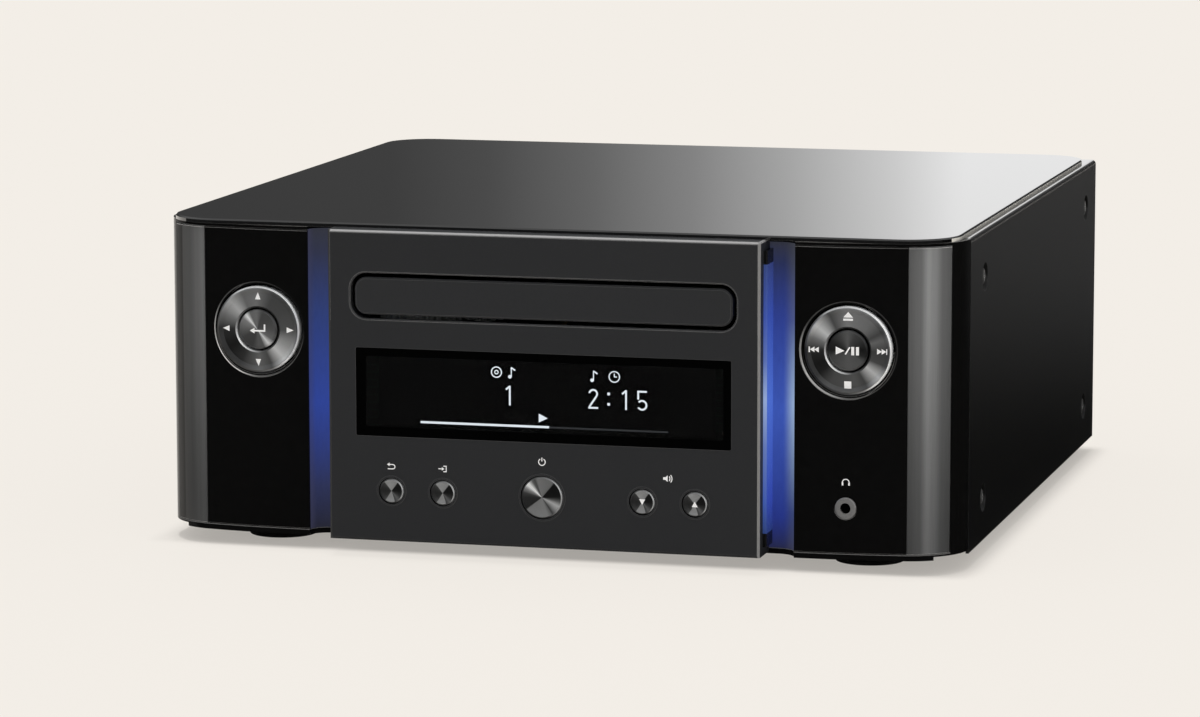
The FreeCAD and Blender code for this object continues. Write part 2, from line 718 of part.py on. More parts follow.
def wing_right():
    """Right-hand wing: also pierced and spot-faced for the headphone socket."""
    seat = outline_point(JACK_X, 0) + 0.3
    tools = [cylinder(JACK_X, FRONT_Y - 1, JACK_Z, 3.1, 12, Y_AXIS),
             cylinder(JACK_X, seat - 5, JACK_Z, NUT_RADIUS + 0.2, 5, Y_AXIS)]
    return wing_panel().cut(tools)


NUT_RADIUS = 3.6


def wing_left():
    """Left-hand wing."""
    return mirrored(wing_panel())


def corner_pillars():
    """Two satin pillars that follow the front corners."""
    x0, x1 = pillar_ends()
    pillar = outline_band(x0 + SEAM / 2, x1, -0.15, WALL, WING_BOTTOM, WING_TOP)
    return both_sides(bevelled_rim(pillar, -0.15))


def bevelled_rim(band, inset):
    """Chamfer the top and bottom edges of a band's outer face."""
    return band.makeChamfer(RIM_CHAMFER, [e for e in band.Edges if on_outer_rim(e, inset)])


def on_outer_rim(edge, inset):
    """Tell whether an edge lies along the top or bottom of a band's outer face."""
    ends = [vertex.Point for vertex in edge.Vertexes]
    level = abs(ends[0].z - ends[-1].z) < 1e-6
    return level and all(abs(end.y - outline_point(end.x, inset)) < 1e-3 for end in ends)


def flute_floor_y():
    """Return the y of the flutes' flat floor."""
    return FRONT_Y + WING_SETBACK + FLUTE_DEPTH


FLUTE_SKIN = 1.2


def flutes():
    """Two concave satin flutes: a quarter ellipse from the wing's edge down to a flat floor."""
    block = closed_block(flute_line(WING_BOTTOM), flute_floor_y(), WING_TOP)
    hollow = fuse([box(FLUTE_EDGE - 0.05, FLUTE_EDGE + 1, FRONT_Y, FRONT_Y + 20, 0, COVER_TOP),
                   box(-1, PANEL_HALF - 3.4, FRONT_Y, FRONT_Y + 20, 0, COVER_TOP)])
    return both_sides(block.cut(hollow))


def light_guides():
    """Two clear strips that run down the centre panel's flanks and light the flutes."""
    y1 = flute_floor_y() - FLUTE_SKIN
    strip = box(PANEL_HALF, PANEL_HALF + 1.3, FRONT_Y - 1.0, y1, PANEL_BOTTOM + 3, PANEL_TOP - 3.4)
    edges = [e for e in strip.Edges if e.BoundBox.ZLength > 10 and e.BoundBox.XMin > PANEL_HALF + 1]
    return both_sides(strip.makeFillet(0.5, edges))


def centre_panel():
    """Raised panel: chamfered shell with the tray opening, window recess and button wells."""
    y0 = FACE_Y
    y1 = flute_floor_y() - FLUTE_SKIN
    outer = box(-PANEL_HALF, PANEL_HALF, y0, y1, PANEL_BOTTOM, PANEL_TOP)
    rim = [e for e in outer.Edges if e.BoundBox.YMax < y0 + 1e-3]
    outer = outer.makeChamfer(0.8, rim)
    inner = box(-PANEL_HALF + 2, PANEL_HALF - 2, y0 + PANEL_SKIN, y1 + 1, PANEL_BOTTOM + 1.6,
                PANEL_TOP - 1.6)
    under_plate = box(-PANEL_HALF - 1, PANEL_HALF + 1, plate_outline()[1] - SEAM, y1 + 1, COVER_TOP - SEAM / 2,
                      PANEL_TOP + 1)
    panel = outer.cut([inner, under_plate])
    collars, tools = panel_posts(), panel_tools()
    for name, x in BUTTON_X.items():
        radius = button_radius(name)
        collars += button_well(x, radius)
        tools += button_well_tools(x, radius)
    return cut(fuse([panel] + collars), tools)


def panel_posts():
    """Return the four posts behind the panel that carry the front board."""
    y0 = FACE_Y + PANEL_SKIN - 1
    return [cylinder(side * (PANEL_HALF - 9), y0, z, 2.5, BOARD_FRONT_Y - y0, Y_AXIS)
            for side in (-1, 1) for z in (WINDOW_BOTTOM - 8, WINDOW_TOP + 4)]


def panel_tools():
    """Return the openings for the tray door and the display window."""
    gap = DOOR_GAP
    wide = gap + RIM_CHAMFER
    flare = upright_plate(-DOOR_HALF - wide, DOOR_HALF + wide, DOOR_BOTTOM - wide, DOOR_TOP + wide,
                          DOOR_CORNER + wide, FACE_Y - 1, FACE_Y + RIM_CHAMFER)
    rim = [e for e in flare.Edges if e.BoundBox.YMin > FACE_Y + RIM_CHAMFER - 1e-3]
    return [flare.makeChamfer(RIM_CHAMFER - 1e-3, rim),
            upright_plate(-DOOR_HALF - gap, DOOR_HALF + gap, DOOR_BOTTOM - gap, DOOR_TOP + gap,
                          DOOR_CORNER + gap, FACE_Y - 1, FACE_Y + PANEL_SKIN + 1),
            upright_plate(-WINDOW_HALF - 0.1, WINDOW_HALF + 0.1, WINDOW_BOTTOM - 0.1, WINDOW_TOP + 0.1,
                          0.6, FACE_Y - 1, FACE_Y + 2.2),
            upright_plate(-WINDOW_HALF + 3, WINDOW_HALF - 3, WINDOW_BOTTOM + 3, WINDOW_TOP - 3,
                          0.6, FACE_Y, FACE_Y + PANEL_SKIN + 1)]


def button_radius(name):
    """Return a front button's radius."""
    return POWER_RADIUS if name == "power_button" else BUTTON_RADIUS


BUTTON_FLANGE = 1.1
BUTTON_STEM = 1.8
WELL_END = 5.9  # distance from the panel's face to the back of a button well


def button_well(x, radius):
    """Return the bezel lip and the guide cup of one button."""
    lip = tube(x, FACE_Y - 0.2, BUTTON_Z, radius + 1.0, radius + 0.4, 0.6, Y_AXIS)
    cup = tube(x, FACE_Y + PANEL_SKIN - 0.5, BUTTON_Z, radius + 2.9, radius + 1.6, WELL_END - 2.5, Y_AXIS)
    wall = cylinder(x, FACE_Y + WELL_END - 1.2, BUTTON_Z, radius + 2.9, 1.2, Y_AXIS)
    return [lip, cup, wall]


def button_well_tools(x, radius):
    """Return the bore, the counterbore and the stem hole of one button."""
    y = FACE_Y
    return [cylinder(x, y - 1, BUTTON_Z, radius + 0.4, 4, Y_AXIS),
            cylinder(x, y + 2.1, BUTTON_Z, radius + 1.6, WELL_END - 1.2 - 2.1, Y_AXIS),
            cylinder(x, y + 2, BUTTON_Z, BUTTON_STEM + 0.1, 6, Y_AXIS)]


def front_button(x, radius):
    """Round button with a dished face, a retaining flange and a stem to its switch."""
    y0 = -BUTTON_PROUD
    profile = [(0, y0 + 0.35), (radius * 0.6, y0 + 0.3), (radius - 0.5, y0), (radius, y0 + 0.5),
               (radius, 2.2), (radius + BUTTON_FLANGE, 2.2), (radius + BUTTON_FLANGE, 3.1),
               (BUTTON_STEM, 3.1), (BUTTON_STEM, 6.6), (0, 6.6)]
    return turned(profile, V(x, FACE_Y, BUTTON_Z), Y_AXIS)


def display_window():
    """Gloss window, flush in the centre panel."""
    return upright_plate(-WINDOW_HALF, WINDOW_HALF, WINDOW_BOTTOM, WINDOW_TOP, 0.5, FACE_Y + 0.2,
                         FACE_Y + 2.2)


BOARD_FRONT_Y = FACE_Y + 11.8


def display_module():
    """Display tube behind the window, with its frame and legs to the front board."""
    y0 = FACE_Y + PANEL_SKIN + 0.4
    glass = upright_plate(-58, 58, WINDOW_BOTTOM + 2, WINDOW_TOP - 2, 0.5, y0, y0 + 5.0)
    legs = [box(x - 2, x + 2, y0 + 5.0, BOARD_FRONT_Y, z - 1.5, z + 1.5)
            for x in (-52, 52) for z in (WINDOW_BOTTOM + 5, WINDOW_TOP - 5)]
    return fuse([glass] + legs)


def tact_switch(x, z, y_board):
    """Return a small push switch that stands forward from a board."""
    half = 2.25
    body = box(x - half, x + half, y_board - 3.5, y_board, z - half, z + half)
    return [body, cylinder(x, y_board - 4.3, z, 1.7, 1.0, Y_AXIS)]


def front_boards():
    """Boards behind the front: the display and button board, and one behind each direction key."""
    y = BOARD_FRONT_Y
    centre = [box(-70.5, 70.5, y, y + BOARD_THICK, FOOT_HEIGHT + 6.5, 78.0)]
    for x in BUTTON_X.values():
        centre += tact_switch(x, BUTTON_Z, y)
    wing_y = wing_board_y()
    wing = [box(NAV_X - 16, NAV_X + 16, wing_y, wing_y + BOARD_THICK, JACK_Z - 9, NAV_Z + 18)]
    for dx, dz in ((0, 0), (14, 0), (-14, 0), (0, 14), (0, -14)):
        wing += tact_switch(NAV_X + dx, NAV_Z + dz, wing_y)
    return Part.makeCompound([fuse(centre), fuse(wing), mirrored(fuse(wing))])


# Direction keys

def nav_ring():
    """Right-hand ring key: dished face, bore, rear skirt with two pivot pins, and four switch pads."""
    y = nav_face_y()
    profile = [(RING_BORE, 0.5), (RING_BORE + 0.5, 0.2), (RING_RADIUS - 2.2, 0.9), (RING_RADIUS - 0.9, 0.0),
               (RING_RADIUS, 0.8), (RING_RADIUS, 3.6), (RING_BORE + 1.7, 3.6), (RING_BORE + 1.7, 7.2),
               (RING_BORE, 7.2)]
    pieces = [turned(profile, V(NAV_X, y, NAV_Z), Y_AXIS)]
    for side in (-1, 1):
        start = NAV_Z + side * (RING_BORE + 1.2)
        pieces.append(cylinder(NAV_X, nav_pivot_y(), start, PIVOT_RADIUS, 2.9, V(0, 0, side)))
    for angle in (0, 90, 180, 270):
        pad = box(13.3, 14.5, 3.0, 9.5, -2.4, 2.4).cut(box(13, 15, 4.2, 10, -1.3, 1.3))
        pad.rotate(V(0, 0, 0), Y_AXIS, angle)
        pad.translate(V(NAV_X, y, NAV_Z))
        pieces.append(pad)
    return fuse(pieces)


def nav_gimbal():
    """Right-hand carrier ring: bored for the key's pins, with its own pins at right angles."""
    y = nav_pivot_y()
    ring = tube(NAV_X, y - 1.3, NAV_Z, 12.6, RING_BORE + 2.1, 2.6, Y_AXIS)
    ring = ring.cut(cylinder(NAV_X, y, NAV_Z - 12, PIVOT_RADIUS + BEARING, 24, Z_AXIS))
    pins = [cylinder(NAV_X + side * 12.2, y, NAV_Z, PIVOT_RADIUS, PIVOT_REACH - 12.2, V(side, 0, 0))
            for side in (-1, 1)]
    return fuse([ring] + pins)


def centre_key():
    """Right-hand centre button: domed head, hollow skirt and a stem to its switch."""
    y = nav_face_y()
    radius = CENTRE_KEY_RADIUS
    profile = [(0, -0.1), (radius * 0.55, -0.05), (radius - 0.6, 0.1), (radius, 0.7), (radius, 5.6),
               (radius - 1.3, 5.6), (radius - 1.3, 2.4), (STEM_RADIUS, 2.4), (STEM_RADIUS, 9.4), (0, 9.4)]
    return turned(profile, V(NAV_X, y, NAV_Z), Y_AXIS)


def headphone_jack():
    """Headphone socket: body, bush, ring nut and the plug's bore."""
    face = outline_point(JACK_X, 0) + 0.3
    nut = turned([(2.9, -1.0), (NUT_RADIUS - 0.3, -1.0), (NUT_RADIUS, -0.7), (NUT_RADIUS, 0.0), (2.9, 0.0)],
                 V(JACK_X, face, JACK_Z), Y_AXIS)
    bush = cylinder(JACK_X, face - 1.0, JACK_Z, 3.0, 7.0, Y_AXIS)
    body = box(JACK_X - 5.5, JACK_X + 5.5, face + 4.6, wing_board_y(), JACK_Z - 5, JACK_Z + 5)
    return cut(fuse([nut, bush, body]), [cylinder(JACK_X, face - 2, JACK_Z, PLUG_BORE, 15.0, Y_AXIS)])


# Disc loader

DRIVE_X = RACK_PITCH_X + GEAR_MODULE * PINION_TEETH / 2
IDLER_X = DRIVE_X + GEAR_MODULE * (DRIVE_TEETH + IDLER_TEETH) / 2
GEAR_LOW = 79.0
GEAR_MID = 82.0
RACK_LOW = 82.6
PINION_TOP = 85.2
FLOOR_TOP = 78.0
FRAME_HALF = 69.0
FRAME_FRONT = FRONT_Y + 12.0
FRAME_REAR = TRAY_TAIL + 8.0
LUG_TOP = 73.0
LUG_BOTTOM = 70.0
BRIDGE_BOTTOM = 92.6
CAM_FRONT = SPINDLE_Y - 29.6
CAM_BACK = CAM_FRONT + 3.0


def lug_places():
    """Return the four screw places of the loader."""
    x = FRAME_HALF + 4.5
    return [(side * x, y) for y in (SPINDLE_Y - 40, SPINDLE_Y + 100) for side in (-1, 1)]


def disc_tray():
    """Disc tray: stepped recesses, a slot for the hub and the pickup, side rails and the drive rack."""
    y0 = FACE_Y + 3.0
    y1 = TRAY_TAIL
    plate = flat_plate(-TRAY_HALF, TRAY_HALF, y0, y1, 3.0, TRAY_FLOOR, TRAY_TOP)
    recess = turned([(0, DISC_SEAT), (DISC_RECESS - 0.6, DISC_SEAT), (DISC_RECESS + 0.8, TRAY_TOP + 1),
                     (0, TRAY_TOP + 1)], V(0, SPINDLE_Y, 0), Z_AXIS)
    small = turned([(0, SMALL_SEAT), (SMALL_RECESS - 0.5, SMALL_SEAT), (SMALL_RECESS, DISC_SEAT + 1),
                    (0, DISC_SEAT + 1)], V(0, SPINDLE_Y, 0), Z_AXIS)
    slot = fuse([cylinder(0, SPINDLE_Y, TRAY_FLOOR - 1, SLOT_HALF, 10),
                 box(-SLOT_HALF, SLOT_HALF, SPINDLE_Y, y1 + 1, TRAY_FLOOR - 1, TRAY_TOP + 1)])
    tools = [recess, small, slot]
    for side in (-1, 1):
        x0, x1 = sorted((side * (SLOT_HALF + 3), side * (TRAY_HALF - 9)))
        tools.append(box(x0, x1, SPINDLE_Y + 67, y1 - 3, TRAY_FLOOR - 1, TRAY_TOP - 1.6))
    finger = cylinder(0, y0 + 2, DISC_SEAT, 17, 5)
    tools.append(finger.cut(box(-20, 20, y0 - 20, y0 + 2, DISC_SEAT - 1, 100)))
    rails = [box(TRAY_HALF - 0.5, TRAY_HALF + RAIL_PROUD, y0 + 8, y1, RAIL_BOTTOM, RAIL_TOP),
             box(-TRAY_HALF - RAIL_PROUD, -TRAY_HALF + 0.5, y0 + 8, y1, RAIL_BOTTOM, RAIL_TOP)]
    teeth = rack(RACK_PITCH_X, GEAR_Y - 5, y1, GEAR_Y, RACK_LOW, TRAY_FLOOR + 0.2, 3.5)
    return fuse([cut(plate, tools), teeth] + rails)


def tray_door():
    """Tray door: a plate with round ends and a chamfered rim, fixed to the tray's front."""
    y0, y1 = FACE_Y + 0.1, FACE_Y + 3.0
    plate = upright_plate(-DOOR_HALF, DOOR_HALF, DOOR_BOTTOM, DOOR_TOP, DOOR_CORNER, y0, y1)
    rim = [e for e in plate.Edges if e.BoundBox.YMax < y0 + 1e-3]
    return plate.makeChamfer(0.5, rim)


def drive_gear():
    """Compound gear: the pinion meshes with the tray's rack, the wheel with the idler."""
    pinion = gear(PINION_TEETH, DRIVE_X, GEAR_Y, GEAR_MID - 0.1, PINION_TOP, 180)
    wheel = gear(DRIVE_TEETH, DRIVE_X, GEAR_Y, GEAR_LOW, GEAR_MID, 0)
    hub = cylinder(DRIVE_X, GEAR_Y, FLOOR_TOP + RUNNING, 4.5, GEAR_LOW - FLOOR_TOP)
    bore = cylinder(DRIVE_X, GEAR_Y, FLOOR_TOP - 1, 2.0 + BEARING, 20)
    return fuse([pinion, wheel, hub]).cut(bore)


def pulley_gear():
    """Idler: a belt pulley above a small gear that drives the wheel."""
    pinion = gear(IDLER_TEETH, IDLER_X, GEAR_Y, GEAR_LOW, GEAR_MID, 180 + 180 / IDLER_TEETH)
    r = PULLEY_RADIUS
    pulley = turned([(0, GEAR_MID - 0.1), (4.0, GEAR_MID - 0.1), (4.0, GEAR_MID + 0.4),
                     (r + 0.4, GEAR_MID + 0.4),
                     (r + 0.4, PINION_TOP - 2.2), (r - 0.8, PINION_TOP - 1.9),
                     (r - 0.8, PINION_TOP - 0.7), (r + 0.4, PINION_TOP - 0.3), (r + 0.4, PINION_TOP),
                     (0, PINION_TOP)], V(IDLER_X, GEAR_Y, 0), Z_AXIS)
    hub = cylinder(IDLER_X, GEAR_Y, FLOOR_TOP + RUNNING, 3.5, GEAR_LOW - FLOOR_TOP)
    bore = cylinder(IDLER_X, GEAR_Y, FLOOR_TOP - 1, 1.5 + BEARING, 20)
    return fuse([pinion, pulley, hub]).cut(bore)


def motor_pulley():
    """Small belt pulley on the loading motor's shaft."""
    r = MOTOR_PULLEY_RADIUS
    profile = [(0, FLOOR_TOP + RUNNING), (r, FLOOR_TOP + RUNNING), (r + 0.6, PINION_TOP - 2.5),
               (r + 0.6, PINION_TOP - 2.2), (r - 0.8, PINION_TOP - 1.9), (r - 0.8, PINION_TOP - 0.7),
               (r + 0.6, PINION_TOP - 0.3), (r + 0.6, PINION_TOP), (0, PINION_TOP)]
    return turned(profile, V(MOTOR_X, MOTOR_Y, 0), Z_AXIS).cut(
        cylinder(MOTOR_X, MOTOR_Y, FLOOR_TOP - 1, 1.0 + BEARING, 10))


def drive_belt():
    """Square belt round the two pulleys, on their outer tangents."""
    z0, z1 = PINION_TOP - 1.75, PINION_TOP - 0.85
    inner = belt_loop(-0.75, z0, z1)
    outer = belt_loop(0.15, z0, z1)
    return outer.cut(inner)


def belt_loop(extra, z0, z1):
    """Return the prism round both pulleys, with the radii grown by extra."""
    big, small = PULLEY_RADIUS + extra, MOTOR_PULLEY_RADIUS + extra
    dx, dy = MOTOR_X - IDLER_X, MOTOR_Y - GEAR_Y
    reach, heading = math.hypot(dx, dy), math.atan2(dy, dx)
    lean = math.acos((big - small) / reach)
    points = []
    for x, y, radius in ((IDLER_X, GEAR_Y, big), (MOTOR_X, MOTOR_Y, small)):
        for turn in (lean, -lean):
            points.append(V(x + radius * math.cos(heading + turn), y + radius * math.sin(heading + turn), z0))
    far = V(IDLER_X - big * math.cos(heading), GEAR_Y - big * math.sin(heading), z0)
    near = V(MOTOR_X + small * math.cos(heading), MOTOR_Y + small * math.sin(heading), z0)
    edges = [Part.Arc(points[0], far, points[1]).toShape(), Part.makeLine(points[1], points[3]),
             Part.Arc(points[3], near, points[2]).toShape(), Part.makeLine(points[2], points[0])]
    return Part.Face(Part.Wire(edges)).extrude(V(0, 0, z1 - z0))


def loading_motor():
    """Tray motor under the loader's floor, with its boss and shaft."""
    z1 = FLOOR_TOP - 2.0
    can = turned([(0, z1 - 18), (MOTOR_RADIUS - 1, z1 - 18), (MOTOR_RADIUS, z1 - 17), (MOTOR_RADIUS, z1),
                  (0, z1)], V(MOTOR_X, MOTOR_Y, 0), Z_AXIS)
    boss = cylinder(MOTOR_X, MOTOR_Y, z1, 3.0, 1.2)
    shaft = cylinder(MOTOR_X, MOTOR_Y, z1, 1.0, PINION_TOP - z1 - 0.5)
    return fuse([can, boss, shaft])


def loader_frame():
    """Moulded frame: side walls with tray guides, gear floor, cam guides, tilt bearings and lugs."""
    return cut(fuse(frame_walls() + frame_floor() + frame_cam_guides() + frame_bearings()),
               frame_tools())


def frame_walls():
    """Return the side walls, their guide ledges and hooks, the side floors and the lugs."""
    half = FRAME_HALF
    wall = box(half - 3, half, FRAME_FRONT, FRAME_REAR, LUG_BOTTOM, BRIDGE_BOTTOM)
    inner = TRAY_HALF + 0.4
    ledge = box(inner, half - 1, FRAME_FRONT, FRAME_REAR, RAIL_BOTTOM - RUNNING - 2, RAIL_BOTTOM - RUNNING)
    pieces = [wall, ledge, box(46, half - 1, SPINDLE_Y - 22, FRAME_REAR, LUG_BOTTOM, LUG_BOTTOM + 2)]
    for index in range(4):
        y = FRAME_FRONT + 6 + index * 42
        pieces.append(box(inner, half - 1, y, y + 16, RAIL_TOP + RUNNING, RAIL_TOP + RUNNING + 1.6))
    for x, y in lug_places():
        if x > 0:
            pieces.append(flat_plate(half - 1, x + 5, y - 6, y + 6, 2, LUG_BOTTOM, LUG_TOP))
    return pieces + [mirrored(piece) for piece in pieces]


def frame_floor():
    """Return the gear floor with its two gear posts, and the rear beam."""
    half = FRAME_HALF - 1
    floor = box(-half, half, FRAME_FRONT, CAM_FRONT - RUNNING, FLOOR_TOP - 2, FLOOR_TOP)
    posts = [cylinder(DRIVE_X, GEAR_Y, FLOOR_TOP - 1, 2.0, 7.6),
             cylinder(IDLER_X, GEAR_Y, FLOOR_TOP - 1, 1.5, 7.6)]
    beam = box(-half, half, TILT_Y + 4, FRAME_REAR, LUG_BOTTOM, LUG_BOTTOM + 9)
    return [floor, beam] + posts


def frame_cam_guides():
    """Return the wall in front of the cam slider and the two hooks that it slides in."""
    y1 = CAM_FRONT - RUNNING
    wall = box(-60, 60, y1 - 1.6, y1, CAM_LOW - 3, FLOOR_TOP)
    pieces = [wall]
    for x0 in (-25, 36):
        x1 = x0 + 6
        pieces.append(box(x0, x1, y1 - 1, CAM_BACK + 2, CAM_LOW - 2.5, CAM_LOW - RUNNING))
        pieces.append(box(x0, x1, CAM_BACK + RUNNING, CAM_BACK + 2, CAM_LOW - 2.5, CAM_LOW + 4))
    return pieces


def frame_bearings():
    """Return the two ears that carry the traverse's tilt pins."""
    ear = box(41.0, 45.0, TILT_Y - 5, TILT_Y + 5, LUG_BOTTOM, TILT_Z + 5)
    return [ear, mirrored(ear)]


def frame_tools():
    """Return the frame's holes: motor boss, tilt pins, lug screws and clamp bridge screws."""
    tools = [cylinder(MOTOR_X, MOTOR_Y, FLOOR_TOP - 3, 3.2, 6),
             cylinder(-50, TILT_Y, TILT_Z, 2.0 + BEARING, 100, X_AXIS)]
    for x, y in lug_places():
        tools.append(cylinder(x, y, LUG_BOTTOM - 1, SCREW_SHANK + 0.05, 6))
    return tools


CAM_LOW = 62.0
CAM_HIGH = 77.4


def cam_slope():
    """Return how far the traverse's pins drop when it tilts to loading."""
    middle = (CAM_FRONT + CAM_BACK) / 2
    return traverse_point(V(CAM_PIN_X, middle, CAM_PIN_Z), TILT_DROP).z - CAM_PIN_Z


def traverse_point(point, degrees):
    """Return a point of the traverse after it has tilted."""
    angle = math.radians(degrees)
    y, z = point.y - TILT_Y, point.z - TILT_Z
    return V(point.x, TILT_Y + y * math.cos(angle) - z * math.sin(angle),
             TILT_Z + y * math.sin(angle) + z * math.cos(angle))


def cam_slider():
    """Cam slider: an upright plate with two slanted slots, and a short rack beside the drive wheel."""
    plate = box(-46, 46, CAM_FRONT, CAM_BACK, CAM_LOW, CAM_HIGH)
    drop = cam_slope()
    tools = []
    width = CAM_PIN_RADIUS + RUNNING
    for x in (-CAM_PIN_X, CAM_PIN_X):
        high = V(x, CAM_FRONT - 1, CAM_PIN_Z)
        low = V(x - CAM_TRAVEL, CAM_FRONT - 1, CAM_PIN_Z + drop)
        tools.append(slot_between(high, low, width, 5))
    arm = box(-64, -44, CAM_FRONT, CAM_BACK, CAM_HIGH - 5, CAM_HIGH)
    shelf = box(-64, -50, CAM_FRONT, cam_rack_y() + 2.2, CAM_HIGH - 2, CAM_HIGH)
    pitch = math.pi * GEAR_MODULE
    base = box(-64, -50, cam_rack_y() + 1.4, cam_rack_y() + 2.8, CAM_HIGH - 2, GEAR_MID)
    teeth = []
    for index in range(4):
        x = -62.5 + index * pitch
        points = [V(x - 1.3, cam_rack_y() + 1.5, CAM_HIGH - 1), V(x - 0.4, cam_rack_y(), CAM_HIGH - 1),
                  V(x + 0.4, cam_rack_y(), CAM_HIGH - 1), V(x + 1.3, cam_rack_y() + 1.5, CAM_HIGH - 1)]
        teeth.append(polygon(points).extrude(V(0, 0, GEAR_MID - CAM_HIGH + 1)))
    return cut(fuse([plate, arm, shelf, base] + teeth), tools)


def cam_rack_y():
    """Return the y of the cam rack's tooth tips, just clear of the drive wheel."""
    return GEAR_Y + GEAR_MODULE * (DRIVE_TEETH / 2 + 0.95) + 0.3


def slot_between(start, end, radius, depth):
    """Return a round-ended slot cutter between two points, cut along Y."""
    along = (end - start).normalize()
    across = V(-along.z, 0, along.x) * radius
    corners = [start + across, end + across, end - across, start - across]
    middle = polygon(corners).extrude(V(0, depth, 0))
    ends = [Part.makeCylinder(radius, depth, point, Y_AXIS) for point in (start, end)]
    return fuse([middle] + ends)


# Traverse

TRAVERSE_FRONT = SPINDLE_Y - 17.5
TRAVERSE_HALF = 38.0
TRAVERSE_TOP = 80.0
ROD_X = 17.0
ROD_Z = 76.5
SLED_START = SPINDLE_Y + 22.5


def traverse_frame():
    """Tilting chassis: plate with a window for the pickup, rib skirts, tilt pins and cam pins."""
    y0, y1 = TRAVERSE_FRONT, rod_ends()[1] + ROD_SEAT
    plate = flat_plate(-TRAVERSE_HALF, TRAVERSE_HALF, y0, y1, 0.8, TRAVERSE_TOP - 2, TRAVERSE_TOP)
    window = box(-24, 24, rod_ends()[0] + 0.5, rod_ends()[1] - 0.5, 60, 90)
    skirts = [box(TRAVERSE_HALF - 1.8, TRAVERSE_HALF, y0 + 3, TILT_Y + 2, TRAVERSE_TOP - 8, TRAVERSE_TOP),
              box(-TRAVERSE_HALF, -TRAVERSE_HALF + 1.8, y0 + 3, TILT_Y + 2, TRAVERSE_TOP - 8, TRAVERSE_TOP)]
    rear = box(-TRAVERSE_HALF, TRAVERSE_HALF, y1 - 2, y1, TRAVERSE_TOP - 8, TRAVERSE_TOP)
    pins = []
    for side in (-1, 1):
        pins.append(cylinder(side * (TRAVERSE_HALF - 1), TILT_Y, TILT_Z, 2.0, 6.5, V(side, 0, 0)))
        x = side * CAM_PIN_X
        pins.append(box(x - 3, x + 3, y0 + 0.5, y0 + 3.5, CAM_PIN_Z - 2.5, TRAVERSE_TOP - 1))
        pins.append(Part.makeCylinder(CAM_PIN_RADIUS, y0 + 1 - (CAM_FRONT + 0.4),
                                      V(x, CAM_FRONT + 0.4, CAM_PIN_Z), Y_AXIS))
    front_end, rear_end = rod_ends()
    bearings = [box(ROD_X - 3, ROD_X + 3, y, y + ROD_SEAT, ROD_Z - 3, TRAVERSE_TOP - 1)
                for y in (front_end - ROD_SEAT, rear_end)]
    bearings += [mirrored(block) for block in bearings]
    holes = [cylinder(0, SPINDLE_Y, 60, 3.2, 30)]
    for side in (-1, 1):
        radius = SCREW_RADIUS + BEARING if side > 0 else ROD_RADIUS
        holes.append(cylinder(side * ROD_X, front_end - ROD_SEAT - 1, ROD_Z, radius,
                              rear_end - front_end + 2 * ROD_SEAT + 2, Y_AXIS))
    body = fuse([plate.cut(window), rear] + skirts + pins + bearings)
    return cut(body, holes)


ROD_RADIUS = 1.5
ROD_SEAT = 5.5
SCREW_RADIUS = 1.4
SLED_FRONT = 4.0
SLED_REAR = 14.0


def rod_ends():
    """Return the y of the two faces that the pickup travels between, with a little to spare."""
    return SLED_START - SLED_FRONT - 1.2, SLED_START + SLED_REAR + SLED_TRAVEL + 0.6


def spindle_motor():
    """Disc motor under the traverse plate."""
    z1 = TRAVERSE_TOP - 2
    can = turned([(0, z1 - 10), (11, z1 - 10), (12, z1 - 9), (12, z1), (0, z1)],
                 V(0, SPINDLE_Y, 0), Z_AXIS)
    bush = cylinder(0, SPINDLE_Y, z1, 3.0, 2.6)
    return fuse([can, bush]).cut(cylinder(0, SPINDLE_Y, z1 - 8, 0.8 + BEARING, 20))


def turntable():
    """Turntable: disc seat with a rubber land, a centring cone and the motor shaft."""
    z = PLAY_HEIGHT
    profile = [(0, TRAVERSE_TOP - 9), (0.8, TRAVERSE_TOP - 9), (0.8, TRAVERSE_TOP + 1.2), (3.6, TRAVERSE_TOP + 1.2),
               (3.6, z - 3.2), (13.6, z - 2.4), (15.0, z - 1.8), (15.0, z), (11.5, z), (11.3, z - 0.4),
               (7.45, z - 0.4), (7.45, z + 0.9), (5.2, z + 2.6), (0, z + 2.6)]
    return turned(profile, V(0, SPINDLE_Y, 0), Z_AXIS)


def clamper():
    """Clamp disc that hangs in the bridge: pressure ring, neck and top flange."""
    low = PLAY_HEIGHT + DISC_THICK + 0.3
    deck = BRIDGE_BOTTOM + 1.2
    r = CLAMPER_RADIUS
    profile = [(0, low + 2.2), (7.9, low + 2.2), (7.9, low), (r, low), (r, deck + RUNNING),
               (r + 4.5, deck + RUNNING), (r + 4.5, deck + RUNNING + 1.5), (4, deck + RUNNING + 1.5),
               (3, deck + RUNNING + 2.6), (0, deck + RUNNING + 2.6)]
    return turned(profile, V(0, SPINDLE_Y, 0), Z_AXIS)


def clamp_bridge():
    """Steel bridge across the loader with turned-up edges and a hole for the clamper."""
    y0, y1 = SPINDLE_Y - 19, SPINDLE_Y + 19
    z0 = BRIDGE_BOTTOM
    plate = flat_plate(-FRAME_HALF, FRAME_HALF, y0, y1, 3, z0, z0 + 1.2)
    edges = [box(-FRAME_HALF + 6, FRAME_HALF - 6, y0, y0 + 1.2, z0, z0 + 4.5),
             box(-FRAME_HALF + 6, FRAME_HALF - 6, y1 - 1.2, y1, z0, z0 + 4.5)]
    holes = [cylinder(0, SPINDLE_Y, z0 - 1, CLAMPER_RADIUS + 1.0, 4)]
    holes += [flat_plate(side * 40 - 12, side * 40 + 12, SPINDLE_Y - 8, SPINDLE_Y + 8, 3, z0 - 1, z0 + 3)
              for side in (-1, 1)]
    return cut(fuse([plate] + edges), holes)


